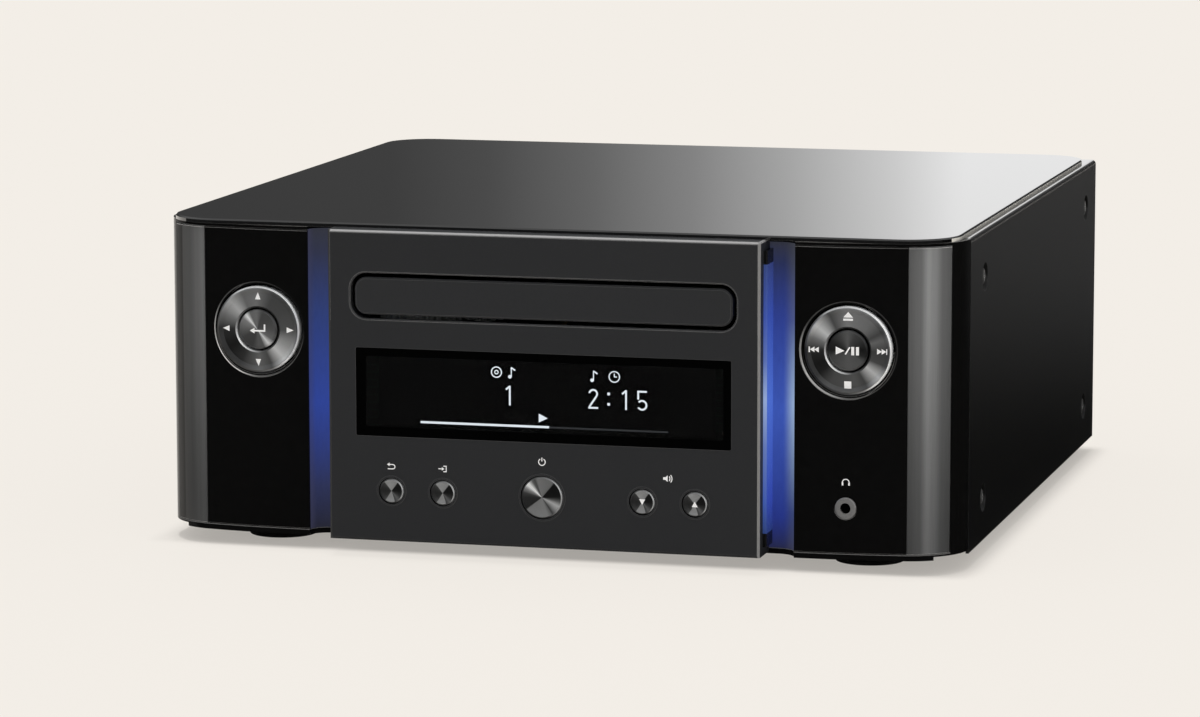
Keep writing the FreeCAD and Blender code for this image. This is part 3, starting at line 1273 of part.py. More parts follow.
def guide_rod():
    """Ground rod that the pickup slides on."""
    y0, y1 = rod_ends()
    return cylinder(-ROD_X, y0 - ROD_SEAT, ROD_Z, ROD_RADIUS, y1 - y0 + 2 * ROD_SEAT, Y_AXIS)


def feed_screw():
    """Feed screw that moves the pickup, turned by the sled motor."""
    y0, y1 = rod_ends()
    shaft = cylinder(ROD_X, y0 - ROD_SEAT + 1, ROD_Z, SCREW_RADIUS, y1 - y0 + 2 * ROD_SEAT - 2, Y_AXIS)
    tail = cylinder(ROD_X, y1, ROD_Z, 0.8, ROD_SEAT + 6.0, Y_AXIS)
    return fuse([shaft, tail])


def sled_motor():
    """Stepper motor on the traverse, behind the feed screw."""
    y0 = rod_ends()[1] + ROD_SEAT
    can = turned([(0, 0), (5.0, 0), (5.4, 0.4), (5.4, 8.6), (0, 8.6)], V(ROD_X, y0, ROD_Z), Y_AXIS)
    return can.cut(cylinder(ROD_X, y0 - 1, ROD_Z, 0.8 + BEARING, 8, Y_AXIS))


def pickup_sled():
    """Optical pickup: sled body with rod bearings, lens housing and lens."""
    y = SLED_START
    body = box(-20.5, 20.5, y - SLED_FRONT, y + SLED_REAR, ROD_Z - 3.5, ROD_Z + 3.3)
    housing = fuse([flat_plate(-11, 11, y - SLED_FRONT, y + SLED_REAR, 2.5, ROD_Z + 2, PLAY_HEIGHT - 4.4),
                    cylinder(0, y + 2, PLAY_HEIGHT - 5, 5.2, 2.6)])
    lens = Part.makeSphere(4.0, V(0, y + 2, PLAY_HEIGHT - 5.6)).common(
        cylinder(0, y + 2, PLAY_HEIGHT - 2.6, 2.4, 5))
    tools = [cylinder(-ROD_X, y - 8, ROD_Z, ROD_RADIUS + BEARING, 30, Y_AXIS),
             cylinder(ROD_X, y - 8, ROD_Z, SCREW_RADIUS + 0.1, 30, Y_AXIS),
             box(-9, 9, y + 1, y + 11, ROD_Z - 5, ROD_Z + 1)]
    return cut(fuse([body, housing, lens]), tools)


def loader_brackets():
    """Two folded steel brackets that carry the loader above the boards."""
    x = FRAME_HALF + 10
    y0, y1 = lug_places()[0][1] - 8, lug_places()[-1][1] + 8
    wall = box(x, x + CHASSIS_GAUGE, y0, y1, FOOT_HEIGHT + CHASSIS_GAUGE, LUG_BOTTOM)
    shelf = box(FRAME_HALF + 0.6, x + CHASSIS_GAUGE, y0, y1, LUG_BOTTOM - CHASSIS_GAUGE, LUG_BOTTOM)
    sole = box(x, x + 9, y0, y1, FOOT_HEIGHT + CHASSIS_GAUGE, FOOT_HEIGHT + 2 * CHASSIS_GAUGE)
    window = upright_window(x - 1, x + 3, y0 + 14, y1 - 14, FOOT_HEIGHT + 16, LUG_BOTTOM - 14)
    holes = [cylinder(px, py, LUG_BOTTOM - 4, SCREW_SHANK + 0.05, 6) for px, py in lug_places() if px > 0]
    step = box(x - 1, x + 10, y0 - 1, cover_front(), 0, FOOT_HEIGHT + FLOOR_WALL + SEAM)
    return both_sides(cut(fuse([wall, shelf, sole]), [window, step] + holes))


def upright_window(x0, x1, y0, y1, z0, z1):
    """Return a round-cornered cutter through a side wall."""
    return rounded_face(y0, y1, z0, z1, 5, lambda a, b: V(x0, a, b)).extrude(V(x1 - x0, 0, 0))


# Electronics

def main_board():
    """Main board with its chips, tuner can and capacitors."""
    z = BOARD_BOTTOM + BOARD_THICK
    board = box(-MAIN_HALF, MAIN_HALF, MAIN_FRONT, MAIN_REAR, BOARD_BOTTOM, z)
    mid = (MAIN_FRONT + MAIN_REAR) / 2
    parts = [box(-14, 14, mid - 14, mid + 14, z, z + 2.2), box(26, 44, mid - 40, mid - 22, z, z + 1.8),
             box(ANTENNA_X - 16, ANTENNA_X + 16, MAIN_REAR - 44, MAIN_REAR - 14, z, z + 9),
             box(-50, -40, mid + 10, mid + 40, z, z + 6)]
    for index in range(6):
        parts.append(cylinder(-52 + index % 3 * 12, mid - 40 - index // 3 * 12, z, 4.0, 11))
    return fuse([board] + parts)


def power_board_area():
    """Return x0, x1, y0 and y1 of the power board."""
    x1 = HALF_WIDTH - 7
    return x1 - 42, x1, FRONT_Y + 60.0, REAR_FACE - 3.0


def power_board():
    """Power board: transformer, reservoir capacitors, coils and fuse holder."""
    x0, x1, y0, y1 = power_board_area()
    z = BOARD_BOTTOM + BOARD_THICK
    board = box(x0, x1, y0, y1, BOARD_BOTTOM, z)
    mid = (x0 + x1) / 2
    core = box(mid - 16, mid + 16, y0 + 60, y0 + 96, z, z + 30).cut(
        box(mid - 10, mid + 10, y0 + 59, y0 + 97, z + 5, z + 25))
    winding = Part.makeCylinder(10.3, 30, V(mid, y0 + 63, z + 15), Y_AXIS)
    caps = [cylinder(mid + dx, y0 + dy, z, 9.0, 36) for dx, dy in ((-10, 16), (10, 16), (-10, 38), (10, 38))]
    choke = cylinder(mid - 8, y0 + 115, z, 8.5, 20)
    fuse_holder = box(mid + 6, mid + 12, y0 + 104, y0 + 126, z, z + 9)
    return fuse([board, core, winding, choke, fuse_holder] + caps)


def heat_sink():
    """Extruded heat sink of the amplifier, fins upright."""
    x0 = -HALF_WIDTH + 8
    y0, y1 = SPINDLE_Y + 40, SPINDLE_Y + 160
    z0, z1 = FOOT_HEIGHT + CHASSIS_GAUGE, FOOT_HEIGHT + 62
    solid = [box(x0 + 24, x0 + 28, y0, y1, z0, z1)]
    for index in range(13):
        y = y0 + index * (y1 - y0 - 1.6) / 12
        solid.append(box(x0, x0 + 25, y, y + 1.6, z0, z1))
    return fuse(solid)


def terminal_block():
    """Moulded plate of the speaker terminals, with a collar round each post."""
    half = POST_PITCH / 2 + 9.0
    y0 = REAR_FACE - 6
    inner = REAR_FACE - CHASSIS_GAUGE
    pieces = [upright_plate(POST_X - half, POST_X + half, POST_Z - half, POST_Z + half, 1.5, y0,
                            REAR_FACE + 1.5),
              upright_plate(POST_X - half - 2, POST_X + half + 2, POST_Z - half - 2, POST_Z + half + 2, 1.5,
                            inner - 2, inner)]
    for _, x, z in post_places():
        pieces.append(cylinder(x, REAR_FACE + 1, z, 6.6, 2.0, Y_AXIS))
    seats = [cylinder(x, y0 - 1, z, POST_RADIUS, 14, Y_AXIS) for _, x, z in post_places()]
    return cut(fuse(pieces), seats)


def terminal_posts():
    """Four plated speaker posts, each bored for a plug and drawn out to a solder tail."""
    posts = []
    for _, x, z in post_places():
        tail = REAR_FACE - 12
        rod = turned([(0, tail), (1.2, tail), (1.2, REAR_FACE - 6), (POST_RADIUS, REAR_FACE - 6),
                      (POST_RADIUS, REAR_FACE + 13), (0, REAR_FACE + 13)], V(x, 0, z), Y_AXIS)
        posts.append(rod.cut(cylinder(x, REAR_FACE + 1.0, z, BANANA_BORE, 14, Y_AXIS)))
    return Part.makeCompound(posts)


def terminal_cap(x, z):
    """Fluted binding-post cap that screws down the metal post."""
    y0 = REAR_FACE + 3.0 + RUNNING
    y1 = COVER_REAR + POST_PROUD
    body = turned([(0, y0), (6.4, y0), (6.8, y0 + 0.6), (6.8, y0 + 9.2), (5.8, y0 + 10.2), (5.6, y1 - 0.6),
                   (5.0, y1), (0, y1)], V(x, 0, z), Y_AXIS)
    tools = [cylinder(x, y0 - 1, z, POST_RADIUS + BEARING, REAR_FACE + 13.0 + RUNNING - y0 + 1, Y_AXIS),
             cylinder(x, y0, z, BANANA_BORE, 30, Y_AXIS)]
    for index in range(12):
        angle = math.radians(30 * index)
        tools.append(cylinder(x + 7.2 * math.cos(angle), y0 + 0.8, z + 7.2 * math.sin(angle), 0.9, 8.0, Y_AXIS))
    return cut(body, tools)


def rca_jacks():
    """Five line sockets: shell block, collars and hollow contact sleeves."""
    y0 = REAR_FACE - 12
    blocks = [jack_housing(RCA_X - 7, RCA_X + 21, y0, RCA_Z + 22),
              jack_housing(RCA_X - 23, RCA_X - 9, y0, RCA_Z + 7)]
    sleeves, bores = [], []
    for x, z in rca_places():
        sleeves.append(cylinder(x, y0 + 4, z, 5.2, REAR_FACE + 1.0 - y0 - 4, Y_AXIS))
        sleeves.append(cylinder(x, REAR_FACE, z, 4.15, 9.0, Y_AXIS))
        bores.append(tube(x, REAR_FACE - 6, z, 3.7, 2.6, 20, Y_AXIS))
        bores.append(cylinder(x, REAR_FACE - 4, z, 1.7, 20, Y_AXIS))
        bores.append(tube(x, REAR_FACE + 7.5, z, 3.7, 1.0, 5, Y_AXIS))
    return Part.makeCompound([cut(fuse([block] + own), bores) for block, own in
                              ((blocks[0], sleeves[:8]), (blocks[1], sleeves[8:]))])


def jack_housing(x0, x1, y0, z1):
    """Return a moulded socket housing, open at its back."""
    z0 = BOARD_BOTTOM + BOARD_THICK
    y1 = REAR_FACE - CHASSIS_GAUGE - SEAM
    return box(x0, x1, y0, y1, z0, z1).cut(box(x0 + 1.5, x1 - 1.5, y0 - 1, y1 - 3, z0 + 1.5, z1 - 1.5))


def antenna_jack():
    """Threaded antenna socket with its hexagonal flange."""
    y0 = REAR_FACE - 10
    hexagon = [V(ANTENNA_X + 5.6 * math.cos(math.radians(60 * k)), REAR_FACE,
                 ANTENNA_Z + 5.6 * math.sin(math.radians(60 * k))) for k in range(6)]
    flange = polygon(hexagon).extrude(V(0, 2.0, 0))
    barrel = cylinder(ANTENNA_X, y0, ANTENNA_Z, 4.7, 20, Y_AXIS)
    block = box(ANTENNA_X - 8, ANTENNA_X + 8, y0 - 4, REAR_FACE - CHASSIS_GAUGE - SEAM,
                BOARD_BOTTOM + BOARD_THICK + 9, ANTENNA_Z + 7)
    return cut(fuse([flange, barrel, block]), [cylinder(ANTENNA_X, REAR_FACE, ANTENNA_Z, 0.6, 12, Y_AXIS)])


def lan_usb_jack():
    """Stacked network and memory socket in one shield."""
    x, z = LAN_X, LAN_Z
    shell = box(x - 8, x + 8, REAR_FACE - 18, REAR_FACE + 0.4, z, z + LAN_HEIGHT)
    tools = [box(x - 6, x + 6, REAR_FACE - 13, REAR_FACE + 1, z + 3, z + 11.2),
             box(x - 2, x + 2, REAR_FACE - 13, REAR_FACE + 1, z + 1.6, z + 3.5),
             box(x - 6.3, x + 6.3, REAR_FACE - 13, REAR_FACE + 1, z + 19, z + 24.2)]
    tongue = box(x - 5.5, x + 5.5, REAR_FACE - 14, REAR_FACE - 1, z + 21.8, z + 23.6)
    return cut(shell, tools).fuse(tongue)


def ac_inlet():
    """Two-pin mains inlet."""
    z = INLET_Z
    body = box(INLET_X - 11, INLET_X + 11, REAR_FACE - 18, REAR_FACE, z - 6.5, z + 6.5)
    flange = upright_plate(INLET_X - 19, INLET_X + 13, z - 8, z + 8, 2, REAR_FACE, REAR_FACE + 1.6)
    well = rounded_face(INLET_X - 8, INLET_X + 8, z - 4.2, z + 4.2, 4.15,
                        lambda a, b: V(a, REAR_FACE - 14, b)).extrude(V(0, 20, 0))
    pins = [cylinder(INLET_X + side * 4.3, REAR_FACE - 15, z, 1.2, 13, Y_AXIS) for side in (-1, 1)]
    holes = [cylinder(INLET_X - 15, REAR_FACE - 4, z, SCREW_HEAD + 0.1, 10, Y_AXIS)]
    return fuse([cut(fuse([body, flange]), [well] + holes)] + pins)


def build():
    """Return every node's name and shape."""
    nodes = {
        "bottom_chassis": bottom_chassis(), "feet": feet(), "screws": screws(),
        "rear_panel": rear_panel(), "top_cover": top_cover(), "top_plate": top_plate(),
        "front_moulding": front_moulding(), "centre_panel": centre_panel(),
        "wing_left": wing_left(), "wing_right": wing_right(), "corner_pillars": corner_pillars(),
        "flutes": flutes(),
        "light_guides": light_guides(), "display_window": display_window(),
        "display_module": display_module(), "front_boards": front_boards(),
        "headphone_jack": headphone_jack(),
        "nav_ring_left": mirrored(nav_ring()), "nav_ring_right": nav_ring(),
        "nav_gimbal_left": mirrored(nav_gimbal()), "nav_gimbal_right": nav_gimbal(),
        "enter_button": mirrored(centre_key()), "play_button": centre_key(),
        "disc_tray": disc_tray(), "tray_door": tray_door(), "drive_gear": drive_gear(),
        "pulley_gear": pulley_gear(), "motor_pulley": motor_pulley(), "drive_belt": drive_belt(),
        "loading_motor": loading_motor(), "loader_frame": loader_frame(),
        "loader_brackets": loader_brackets(), "clamp_bridge": clamp_bridge(), "clamper": clamper(),
        "cam_slider": cam_slider(), "traverse_frame": traverse_frame(),
        "spindle_motor": spindle_motor(), "turntable": turntable(), "guide_rod": guide_rod(),
        "feed_screw": feed_screw(), "sled_motor": sled_motor(), "pickup_sled": pickup_sled(),
        "main_board": main_board(), "power_board": power_board(), "heat_sink": heat_sink(),
        "terminal_block": terminal_block(), "terminal_posts": terminal_posts(),
        "rca_jacks": rca_jacks(),
        "antenna_jack": antenna_jack(), "lan_usb_jack": lan_usb_jack(), "ac_inlet": ac_inlet(),
    }
    for name, x in BUTTON_X.items():
        nodes[name] = front_button(x, button_radius(name))
    for name, x, z in post_places():
        nodes["terminal_cap_" + name] = terminal_cap(x, z)
    return nodes


def export():
    """Write one STEP file for each node."""
    os.makedirs("parts", exist_ok=True)
    for name, shape in build().items():
        shape.exportStep("parts/" + name + ".step")


export()
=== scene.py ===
"""Compact disc receiver, seen from its front right and a little above.

The packed CAD model gives every shape and place. This script dresses its nodes, adds the printed
signs, the lit readout, the belt, the screws and the antenna thread, and sets the light and camera.
"""

import logging
import math
from dataclasses import dataclass
from enum import Enum
from typing import Any, Callable, ClassVar, Iterable, Optional, Union

import bmesh
import bpy
from mathutils import Matrix, Vector
from mathutils.bvhtree import BVHTree

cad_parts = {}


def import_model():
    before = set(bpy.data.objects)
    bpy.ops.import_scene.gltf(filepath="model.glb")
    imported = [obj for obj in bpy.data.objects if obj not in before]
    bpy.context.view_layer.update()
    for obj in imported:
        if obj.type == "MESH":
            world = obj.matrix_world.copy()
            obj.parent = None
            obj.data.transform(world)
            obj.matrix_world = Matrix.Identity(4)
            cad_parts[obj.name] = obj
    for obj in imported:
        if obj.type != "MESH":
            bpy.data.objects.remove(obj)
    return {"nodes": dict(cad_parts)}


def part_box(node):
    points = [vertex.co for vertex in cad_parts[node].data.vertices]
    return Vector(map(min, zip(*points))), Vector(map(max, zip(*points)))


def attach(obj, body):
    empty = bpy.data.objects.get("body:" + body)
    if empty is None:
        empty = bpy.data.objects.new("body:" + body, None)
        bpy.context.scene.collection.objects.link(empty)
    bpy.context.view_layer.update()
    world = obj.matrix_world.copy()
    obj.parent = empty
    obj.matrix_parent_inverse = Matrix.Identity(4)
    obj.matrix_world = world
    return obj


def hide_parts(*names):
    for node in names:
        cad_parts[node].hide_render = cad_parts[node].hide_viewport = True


LOG = logging.getLogger("receiver")
MM = 0.001
ORIGIN = (0.0, 0.0, 0.0)
BLACK = (0.0, 0.0, 0.0)
WHITE = (1.0, 1.0, 1.0)
FACING = 0.9

Colour = tuple[float, float, float]
Feed = Union[bpy.types.NodeSocket, float, tuple, None]
Wedges = tuple[tuple[float, float], ...]
Tones = tuple[tuple[float, float, float, float], ...]


def tint(red: float, green: float, blue: float) -> Colour:
    """Turns display values from 0 to 255 into a linear colour."""
    shares = (value / 255 for value in (red, green, blue))
    return tuple(share / 12.92 if share <= 0.04045 else ((share + 0.055) / 1.055) ** 2.4 for share in shares)


def grey(value: float) -> Colour:
    """Gives the linear colour of a display grey from 0 to 255."""
    return tint(value, value, value)


def cool(value: float) -> Colour:
    """Gives a display grey with a little less red, which the warm floor gives back to a front."""
    return tint(value * 0.982, value * 0.992, value)


def scaled(colour: Colour, factor: float) -> Colour:
    """Multiplies a colour by a factor."""
    return colour[0] * factor, colour[1] * factor, colour[2] * factor


class Axis(Enum):
    """A main direction of the object."""

    X = 0
    Y = 1
    Z = 2


class Wiring:
    """Adds and joins the nodes of one shader node tree."""

    def __init__(self, tree: bpy.types.NodeTree) -> None:
        """Keeps the tree that is being wired."""
        self.tree = tree

    def node(self, kind: str, feeds: Optional[dict[Any, Feed]] = None, **settings: Any) -> bpy.types.Node:
        """Adds a node, sets its options and feeds its inputs.

        Args:
            kind: Blender's name of the node type.
            feeds: what its inputs get, by their names or numbers.
            settings: its options by name.

        Returns:
            The new node.
        """
        made = self.tree.nodes.new(kind)
        for label, value in settings.items():
            setattr(made, label, value)
        for label, value in (feeds or {}).items():
            self.feed(made.inputs[label], value)
        return made

    def feed(self, socket: bpy.types.NodeSocket, value: Feed) -> None:
        """Joins a socket to another one, or sets its value.

        Args:
            socket: the input that is fed.
            value: an output socket, a number or a colour; None leaves the input alone.
        """
        if isinstance(value, bpy.types.NodeSocket):
            self.tree.links.new(value, socket)
        elif value is not None:
            if socket.type == "RGBA" and len(value) == 3:
                value = (*value, 1.0)
            socket.default_value = value

    def math(self, operation: str, *values: Feed, clamp: bool = False) -> bpy.types.NodeSocket:
        """Adds a Math node, whose result stays between 0 and 1 if it is clamped."""
        return self.node("ShaderNodeMath", dict(enumerate(values)),
                         operation=operation, use_clamp=clamp).outputs[0]

    def times(self, first: Feed, second: Feed) -> bpy.types.NodeSocket:
        """Multiplies two values; of two masks that leaves what lies in both."""
        return self.math("MULTIPLY", first, second)

    def minus(self, first: Feed, second: Feed) -> bpy.types.NodeSocket:
        """Takes the second value from the first."""
        return self.math("SUBTRACT", first, second)

    def linear(self, value: Feed, slope: Feed, start: Feed, clamp: bool = False) -> bpy.types.NodeSocket:
        """Multiplies a value by a slope and adds a start."""
        return self.math("MULTIPLY_ADD", value, slope, start, clamp=clamp)

    def above(self, value: Feed, limit: float) -> bpy.types.NodeSocket:
        """Gives 1 where a value is over a limit."""
        return self.math("GREATER_THAN", value, limit)

    def below(self, value: Feed, limit: float) -> bpy.types.NodeSocket:
        """Gives 1 where a value is under a limit."""
        return self.math("LESS_THAN", value, limit)

    def between(self, value: Feed, low: float, high: float) -> bpy.types.NodeSocket:
        """Gives 1 where a value lies between two limits."""
        return self.times(self.above(value, low), self.below(value, high))

    def step(self, value: Feed, start: float, end: float, smooth: bool = True) -> bpy.types.NodeSocket:
        """Rises from 0 at a start to 1 at an end.

        Args:
            value: the value that is followed.
            start: where the rise begins.
            end: where it ends.
            smooth: True for an eased rise, False for a straight one.

        Returns:
            The share of the rise.
        """
        made = self.node("ShaderNodeMapRange", {"Value": value, "From Min": start, "From Max": end},
                         clamp=True, interpolation_type="SMOOTHSTEP" if smooth else "LINEAR")
        return made.outputs["Result"]

    def mix(self, share: Feed, first: Feed, second: Feed, blend: str = "MIX") -> bpy.types.NodeSocket:
        """Blends two colours by the share of the second."""
        made = self.node("ShaderNodeMix", {0: share, 6: first, 7: second}, data_type="RGBA", blend_type=blend)
        return made.outputs[2]

    def ramp(self, value: Feed, stops: Iterable[tuple[float, Colour]],
             smooth: bool = False) -> bpy.types.NodeSocket:
        """Turns a value into a colour along a row of stops.

        Args:
            value: the value that is looked up, from 0 to 1.
            stops: places and colours, from the lowest place up.
            smooth: True for eased steps between the stops.

        Returns:
            The colour output.
        """
        made = self.node("ShaderNodeValToRGB", {0: value})
        band = made.color_ramp
        band.interpolation = "EASE" if smooth else "LINEAR"
        for index, (place, colour) in enumerate(stops):
            stop = band.elements[index] if index < 2 else band.elements.new(place)
            stop.position = place
            stop.color = (*colour, 1.0)
        return made.outputs[0]

    def greys(self, value: Feed, wedges: Wedges, gain: float, smooth: bool = False) -> bpy.types.NodeSocket:
        """Turns a value into cool display greys, made brighter by a gain."""
        return self.ramp(value, [(place, scaled(cool(level), gain)) for place, level in wedges], smooth)

    def tones(self, value: Feed, rows: Tones) -> bpy.types.NodeSocket:
        """Turns a value into display colours, from rows of a place with its red, green and blue."""
        return self.ramp(value, [(place, tint(*colour)) for place, *colour in rows])

    def axes(self, vector: bpy.types.NodeSocket) -> list[bpy.types.NodeSocket]:
        """Splits a vector into its three parts."""
        return list(self.node("ShaderNodeSeparateXYZ", {0: vector}).outputs)

    def flat_normal(self) -> bpy.types.NodeSocket:
        """Gives the direction that a face looks in."""
        return self.node("ShaderNodeNewGeometry").outputs["Normal"]

    def noise(self, place: Feed, scale: Feed, detail: float = 2.0,
              roughness: float = 0.5) -> bpy.types.NodeSocket:
        """Adds a noise texture and returns its value."""
        inputs = {"Vector": place, "Scale": scale, "Detail": detail, "Roughness": roughness}
        return self.node("ShaderNodeTexNoise", inputs).outputs[0]

    def map(self, place: Feed, centre: Colour = ORIGIN, stretch: Colour = WHITE) -> bpy.types.NodeSocket:
        """Moves a pattern's origin to a centre in metres, and stretches it along each axis."""
        shift = tuple(-c * s for c, s in zip(centre, stretch))
        return self.node("ShaderNodeMapping",
                         {"Vector": place, "Location": shift, "Scale": stretch}).outputs[0]

    def effect(self, effect: "Effect", **values: Feed) -> dict[str, bpy.types.NodeSocket]:
        """Places a shared group with its own values, and gives its outputs by name."""
        made = self.node("ShaderNodeGroup", values, node_tree=effect.tree())
        return {socket.name: socket for socket in made.outputs}


@dataclass(frozen=True)
class Effect:
    """A shader group that several finishes share, built once.

    Attributes:
        name: the group's name.
        inputs: its inputs with their usual values.
        outputs: the names of its outputs.
        wire: wires the group between its inputs and its outputs.
    """

    name: str
    inputs: tuple[tuple[str, Union[float, Colour]], ...]
    outputs: tuple[str, ...]
    wire: Callable[[Wiring, Any, Any], None]

    def tree(self) -> bpy.types.NodeTree:
        """Builds the group at its first use.

        Returns:
            The group.
        """
        ready = bpy.data.node_groups.get(self.name)
        if ready:
            return ready
        tree = bpy.data.node_groups.new(self.name, "ShaderNodeTree")
        for label, value in self.inputs:
            kind = "NodeSocketVector" if isinstance(value, tuple) else "NodeSocketFloat"
            tree.interface.new_socket(label, in_out="INPUT", socket_type=kind).default_value = value
        for label in self.outputs:
            tree.interface.new_socket(label, in_out="OUTPUT", socket_type="NodeSocketFloat")
        wiring = Wiring(tree)
        self.wire(wiring, wiring.node("NodeGroupInput").outputs, wiring.node("NodeGroupOutput").inputs)
        return tree


def wire_edge_light(w: Wiring, given: Any, out: Any) -> None:
    """Finds edges by how far the rounded normal leans from the flat one, and apart those that face up.

    Args:
        w: the group's wiring.
        given: its radius and gain.
        out: its masks of all edges and of those that face up.
    """
    rounded = w.node("ShaderNodeBevel", {"Radius": given["Radius"]}, samples=6).outputs[0]
    flat = w.flat_normal()
    lean = w.node("ShaderNodeVectorMath", {0: rounded, 1: flat}, operation="DOT_PRODUCT").outputs["Value"]
    w.feed(out["Mask"], w.math("MULTIPLY", w.minus(1.0, lean), given["Gain"], clamp=True))
    rise = w.minus(w.axes(rounded)[2], w.axes(flat)[2])
    w.feed(out["Up"], w.math("MULTIPLY", rise, given["Gain"], clamp=True))


def wire_grain(w: Wiring, given: Any, out: Any) -> None:
    """Mixes a fine and a coarse noise into the grain of a moulded or painted skin.

    Args:
        w: the group's wiring.
        given: its place and scale.
        out: its height and mask.
    """
    fine = w.noise(given["Place"], given["Scale"], detail=3.0)
    coarse = w.noise(given["Place"], w.times(given["Scale"], 0.17), detail=1.0)
    w.feed(out["Height"], w.linear(coarse, 0.4, fine))
    w.feed(out["Mask"], w.linear(w.minus(fine, 0.5), 1.6, 0.5, clamp=True))


def wire_brushing(w: Wiring, given: Any, out: Any) -> None:
    """Makes long fine lines from stretched noise.

    Args:
        w: the group's wiring.
        given: its place and scale.
        out: its height and mask.
    """
    wide = w.noise(given["Place"], given["Scale"], detail=4.0, roughness=0.7)
    narrow = w.noise(given["Place"], w.times(given["Scale"], 4.3), detail=2.0)
    both = w.linear(narrow, 0.5, w.times(wide, 0.5))
    w.feed(out["Height"], both)
    w.feed(out["Mask"], w.linear(w.minus(both, 0.5), 2.4, 0.5, clamp=True))


def wire_handling(w: Wiring, given: Any, out: Any) -> None:
    """Shifts the roughness in soft patches, as fingers and wiping leave it."""
    soft = w.noise(given["Place"], given["Scale"], detail=3.0, roughness=0.6)
    w.feed(out["Shift"], w.times(w.minus(soft, 0.5), given["Amount"]))


def wire_dust(w: Wiring, given: Any, out: Any) -> None:
    """Lays thin specks of dust on what faces upwards.

    Args:
        w: the group's wiring.
        given: its place and amount.
        out: its mask.
    """
    up = w.axes(w.flat_normal())[2]
    specks = w.step(w.noise(given["Place"], 1400.0, detail=1.0), 0.66, 0.8)
    veil = w.linear(specks, 0.7, 0.3)
    w.feed(out["Mask"], w.times(w.times(w.math("MAXIMUM", up, 0.0), veil), given["Amount"]))


def wire_turning(w: Wiring, given: Any, out: Any) -> None:
    """Gives the fine circular lines of a face turned on a lathe, and the angle and radius round its axis.

    Args:
        w: the group's wiring.
        given: its place and the closeness of its lines.
        out: its height, angle and radius.
    """
    x, _, z = w.axes(given["Place"])
    radius = w.math("SQRT", w.math("ADD", w.times(x, x), w.times(z, z)))
    run = w.times(radius, given["Lines"])
    ragged = w.node("ShaderNodeTexNoise", {"W": run, "Scale": 0.7}, noise_dimensions="1D").outputs[0]
    w.feed(out["Height"], w.linear(w.math("SINE", run), 0.3, ragged))
    w.feed(out["Angle"], w.linear(w.math("ARCTAN2", z, x), 0.5 / math.pi, 0.5))
    w.feed(out["Radius"], radius)


# The edge masks carry the highlights that the finishes paint on edges.
EDGE_LIGHT = Effect("Edge light", (("Radius", 0.5 * MM), ("Gain", 4.0)), ("Mask", "Up"), wire_edge_light)
GRAIN = Effect("Grain", (("Place", ORIGIN), ("Scale", 900.0)), ("Height", "Mask"), wire_grain)
BRUSHING = Effect("Brushing", (("Place", ORIGIN), ("Scale", 300.0)), ("Height", "Mask"), wire_brushing)
HANDLING = Effect("Handling", (("Place", ORIGIN), ("Scale", 30.0), ("Amount", 0.06)), ("Shift",),
                  wire_handling)
DUST = Effect("Dust", (("Place", ORIGIN), ("Amount", 0.1)), ("Mask",), wire_dust)
TURNING = Effect("Turning", (("Place", ORIGIN), ("Lines", 40000.0)), ("Height", "Angle", "Radius"),
                 wire_turning)
DUST_COLOUR = grey(150)


class Shader(Wiring):
    """One material with its Principled shader."""

    def __init__(self, name: str) -> None:
        """Starts a material with a shader, an output and the piece's own coordinates.

        Args:
            name: the material's name.
        """
        self.material = bpy.data.materials.new(name)
        self.material.use_nodes = True
        super().__init__(self.material.node_tree)
        self.tree.nodes.clear()
        self.principled = self.node("ShaderNodeBsdfPrincipled")
        self.output = self.node("ShaderNodeOutputMaterial", {"Surface": self.principled.outputs[0]})
        self.place = self.node("ShaderNodeTexCoord").outputs["Object"]

    def surface(self, inputs: dict[str, Feed]) -> bpy.types.Material:
        """Feeds the Principled shader.

        Args:
            inputs: what its inputs get, by name.

        Returns:
            The finished material.
        """
        for label, value in inputs.items():
            self.feed(self.principled.inputs[label], value)
        return self.material

    def bump(self, height: Feed, depth: float) -> bpy.types.NodeSocket:
        """Makes a normal from a height pattern, whose depth is in metres."""
        return self.node("ShaderNodeBump", {"Strength": 1.0, "Distance": depth, "Height": height}).outputs[0]

    def varied(self, mask: Feed, colour: Colour, spread: float) -> bpy.types.NodeSocket:
        """Spreads a colour to both sides of itself along a mask."""
        return self.mix(mask, scaled(colour, 1 - spread), scaled(colour, 1 + spread))

    def edges(self, base: Feed, width: float, share: float, colour: Colour, kind: str = "Mask") -> Feed:
        """Paints highlights on the edges of a surface.

        Args:
            base: the surface's colour.
            width: how far the light reaches from an edge, in metres.
            share: how much of the painted highlight shows; at 0 the surface stays as it is.
            colour: the painted highlight's colour.
            kind: "Mask" for all edges, "Up" for those that face up.

        Returns:
            The colour with its edges.
        """
        if not share:
            return base
        return self.mix(self.times(self.effect(EDGE_LIGHT, Radius=width)[kind], share), base, colour)


@dataclass(frozen=True)
class Finish:
    """What every finish has: a name, and one material that is made at its first use."""

    name: str

    def material(self) -> bpy.types.Material:
        """Gives the finish's material, under a name that no CAD material has."""
        label = f"finish_{self.name}"
        return bpy.data.materials.get(label) or self.wire(Shader(label))

    def wire(self, s: Shader) -> bpy.types.Material:
        """Wires the material; each kind of finish has its own way."""
        raise NotImplementedError(self.name)

    def dress(self, *nodes: str) -> None:
        """Gives the finish to CAD nodes.

        Args:
            nodes: the names of the nodes.
        """
        for node in nodes:
            slots = CAD["nodes"][node].data.materials
            slots.clear()
            slots.append(self.material())
            LOG.info("%s: %s", node, self.name)


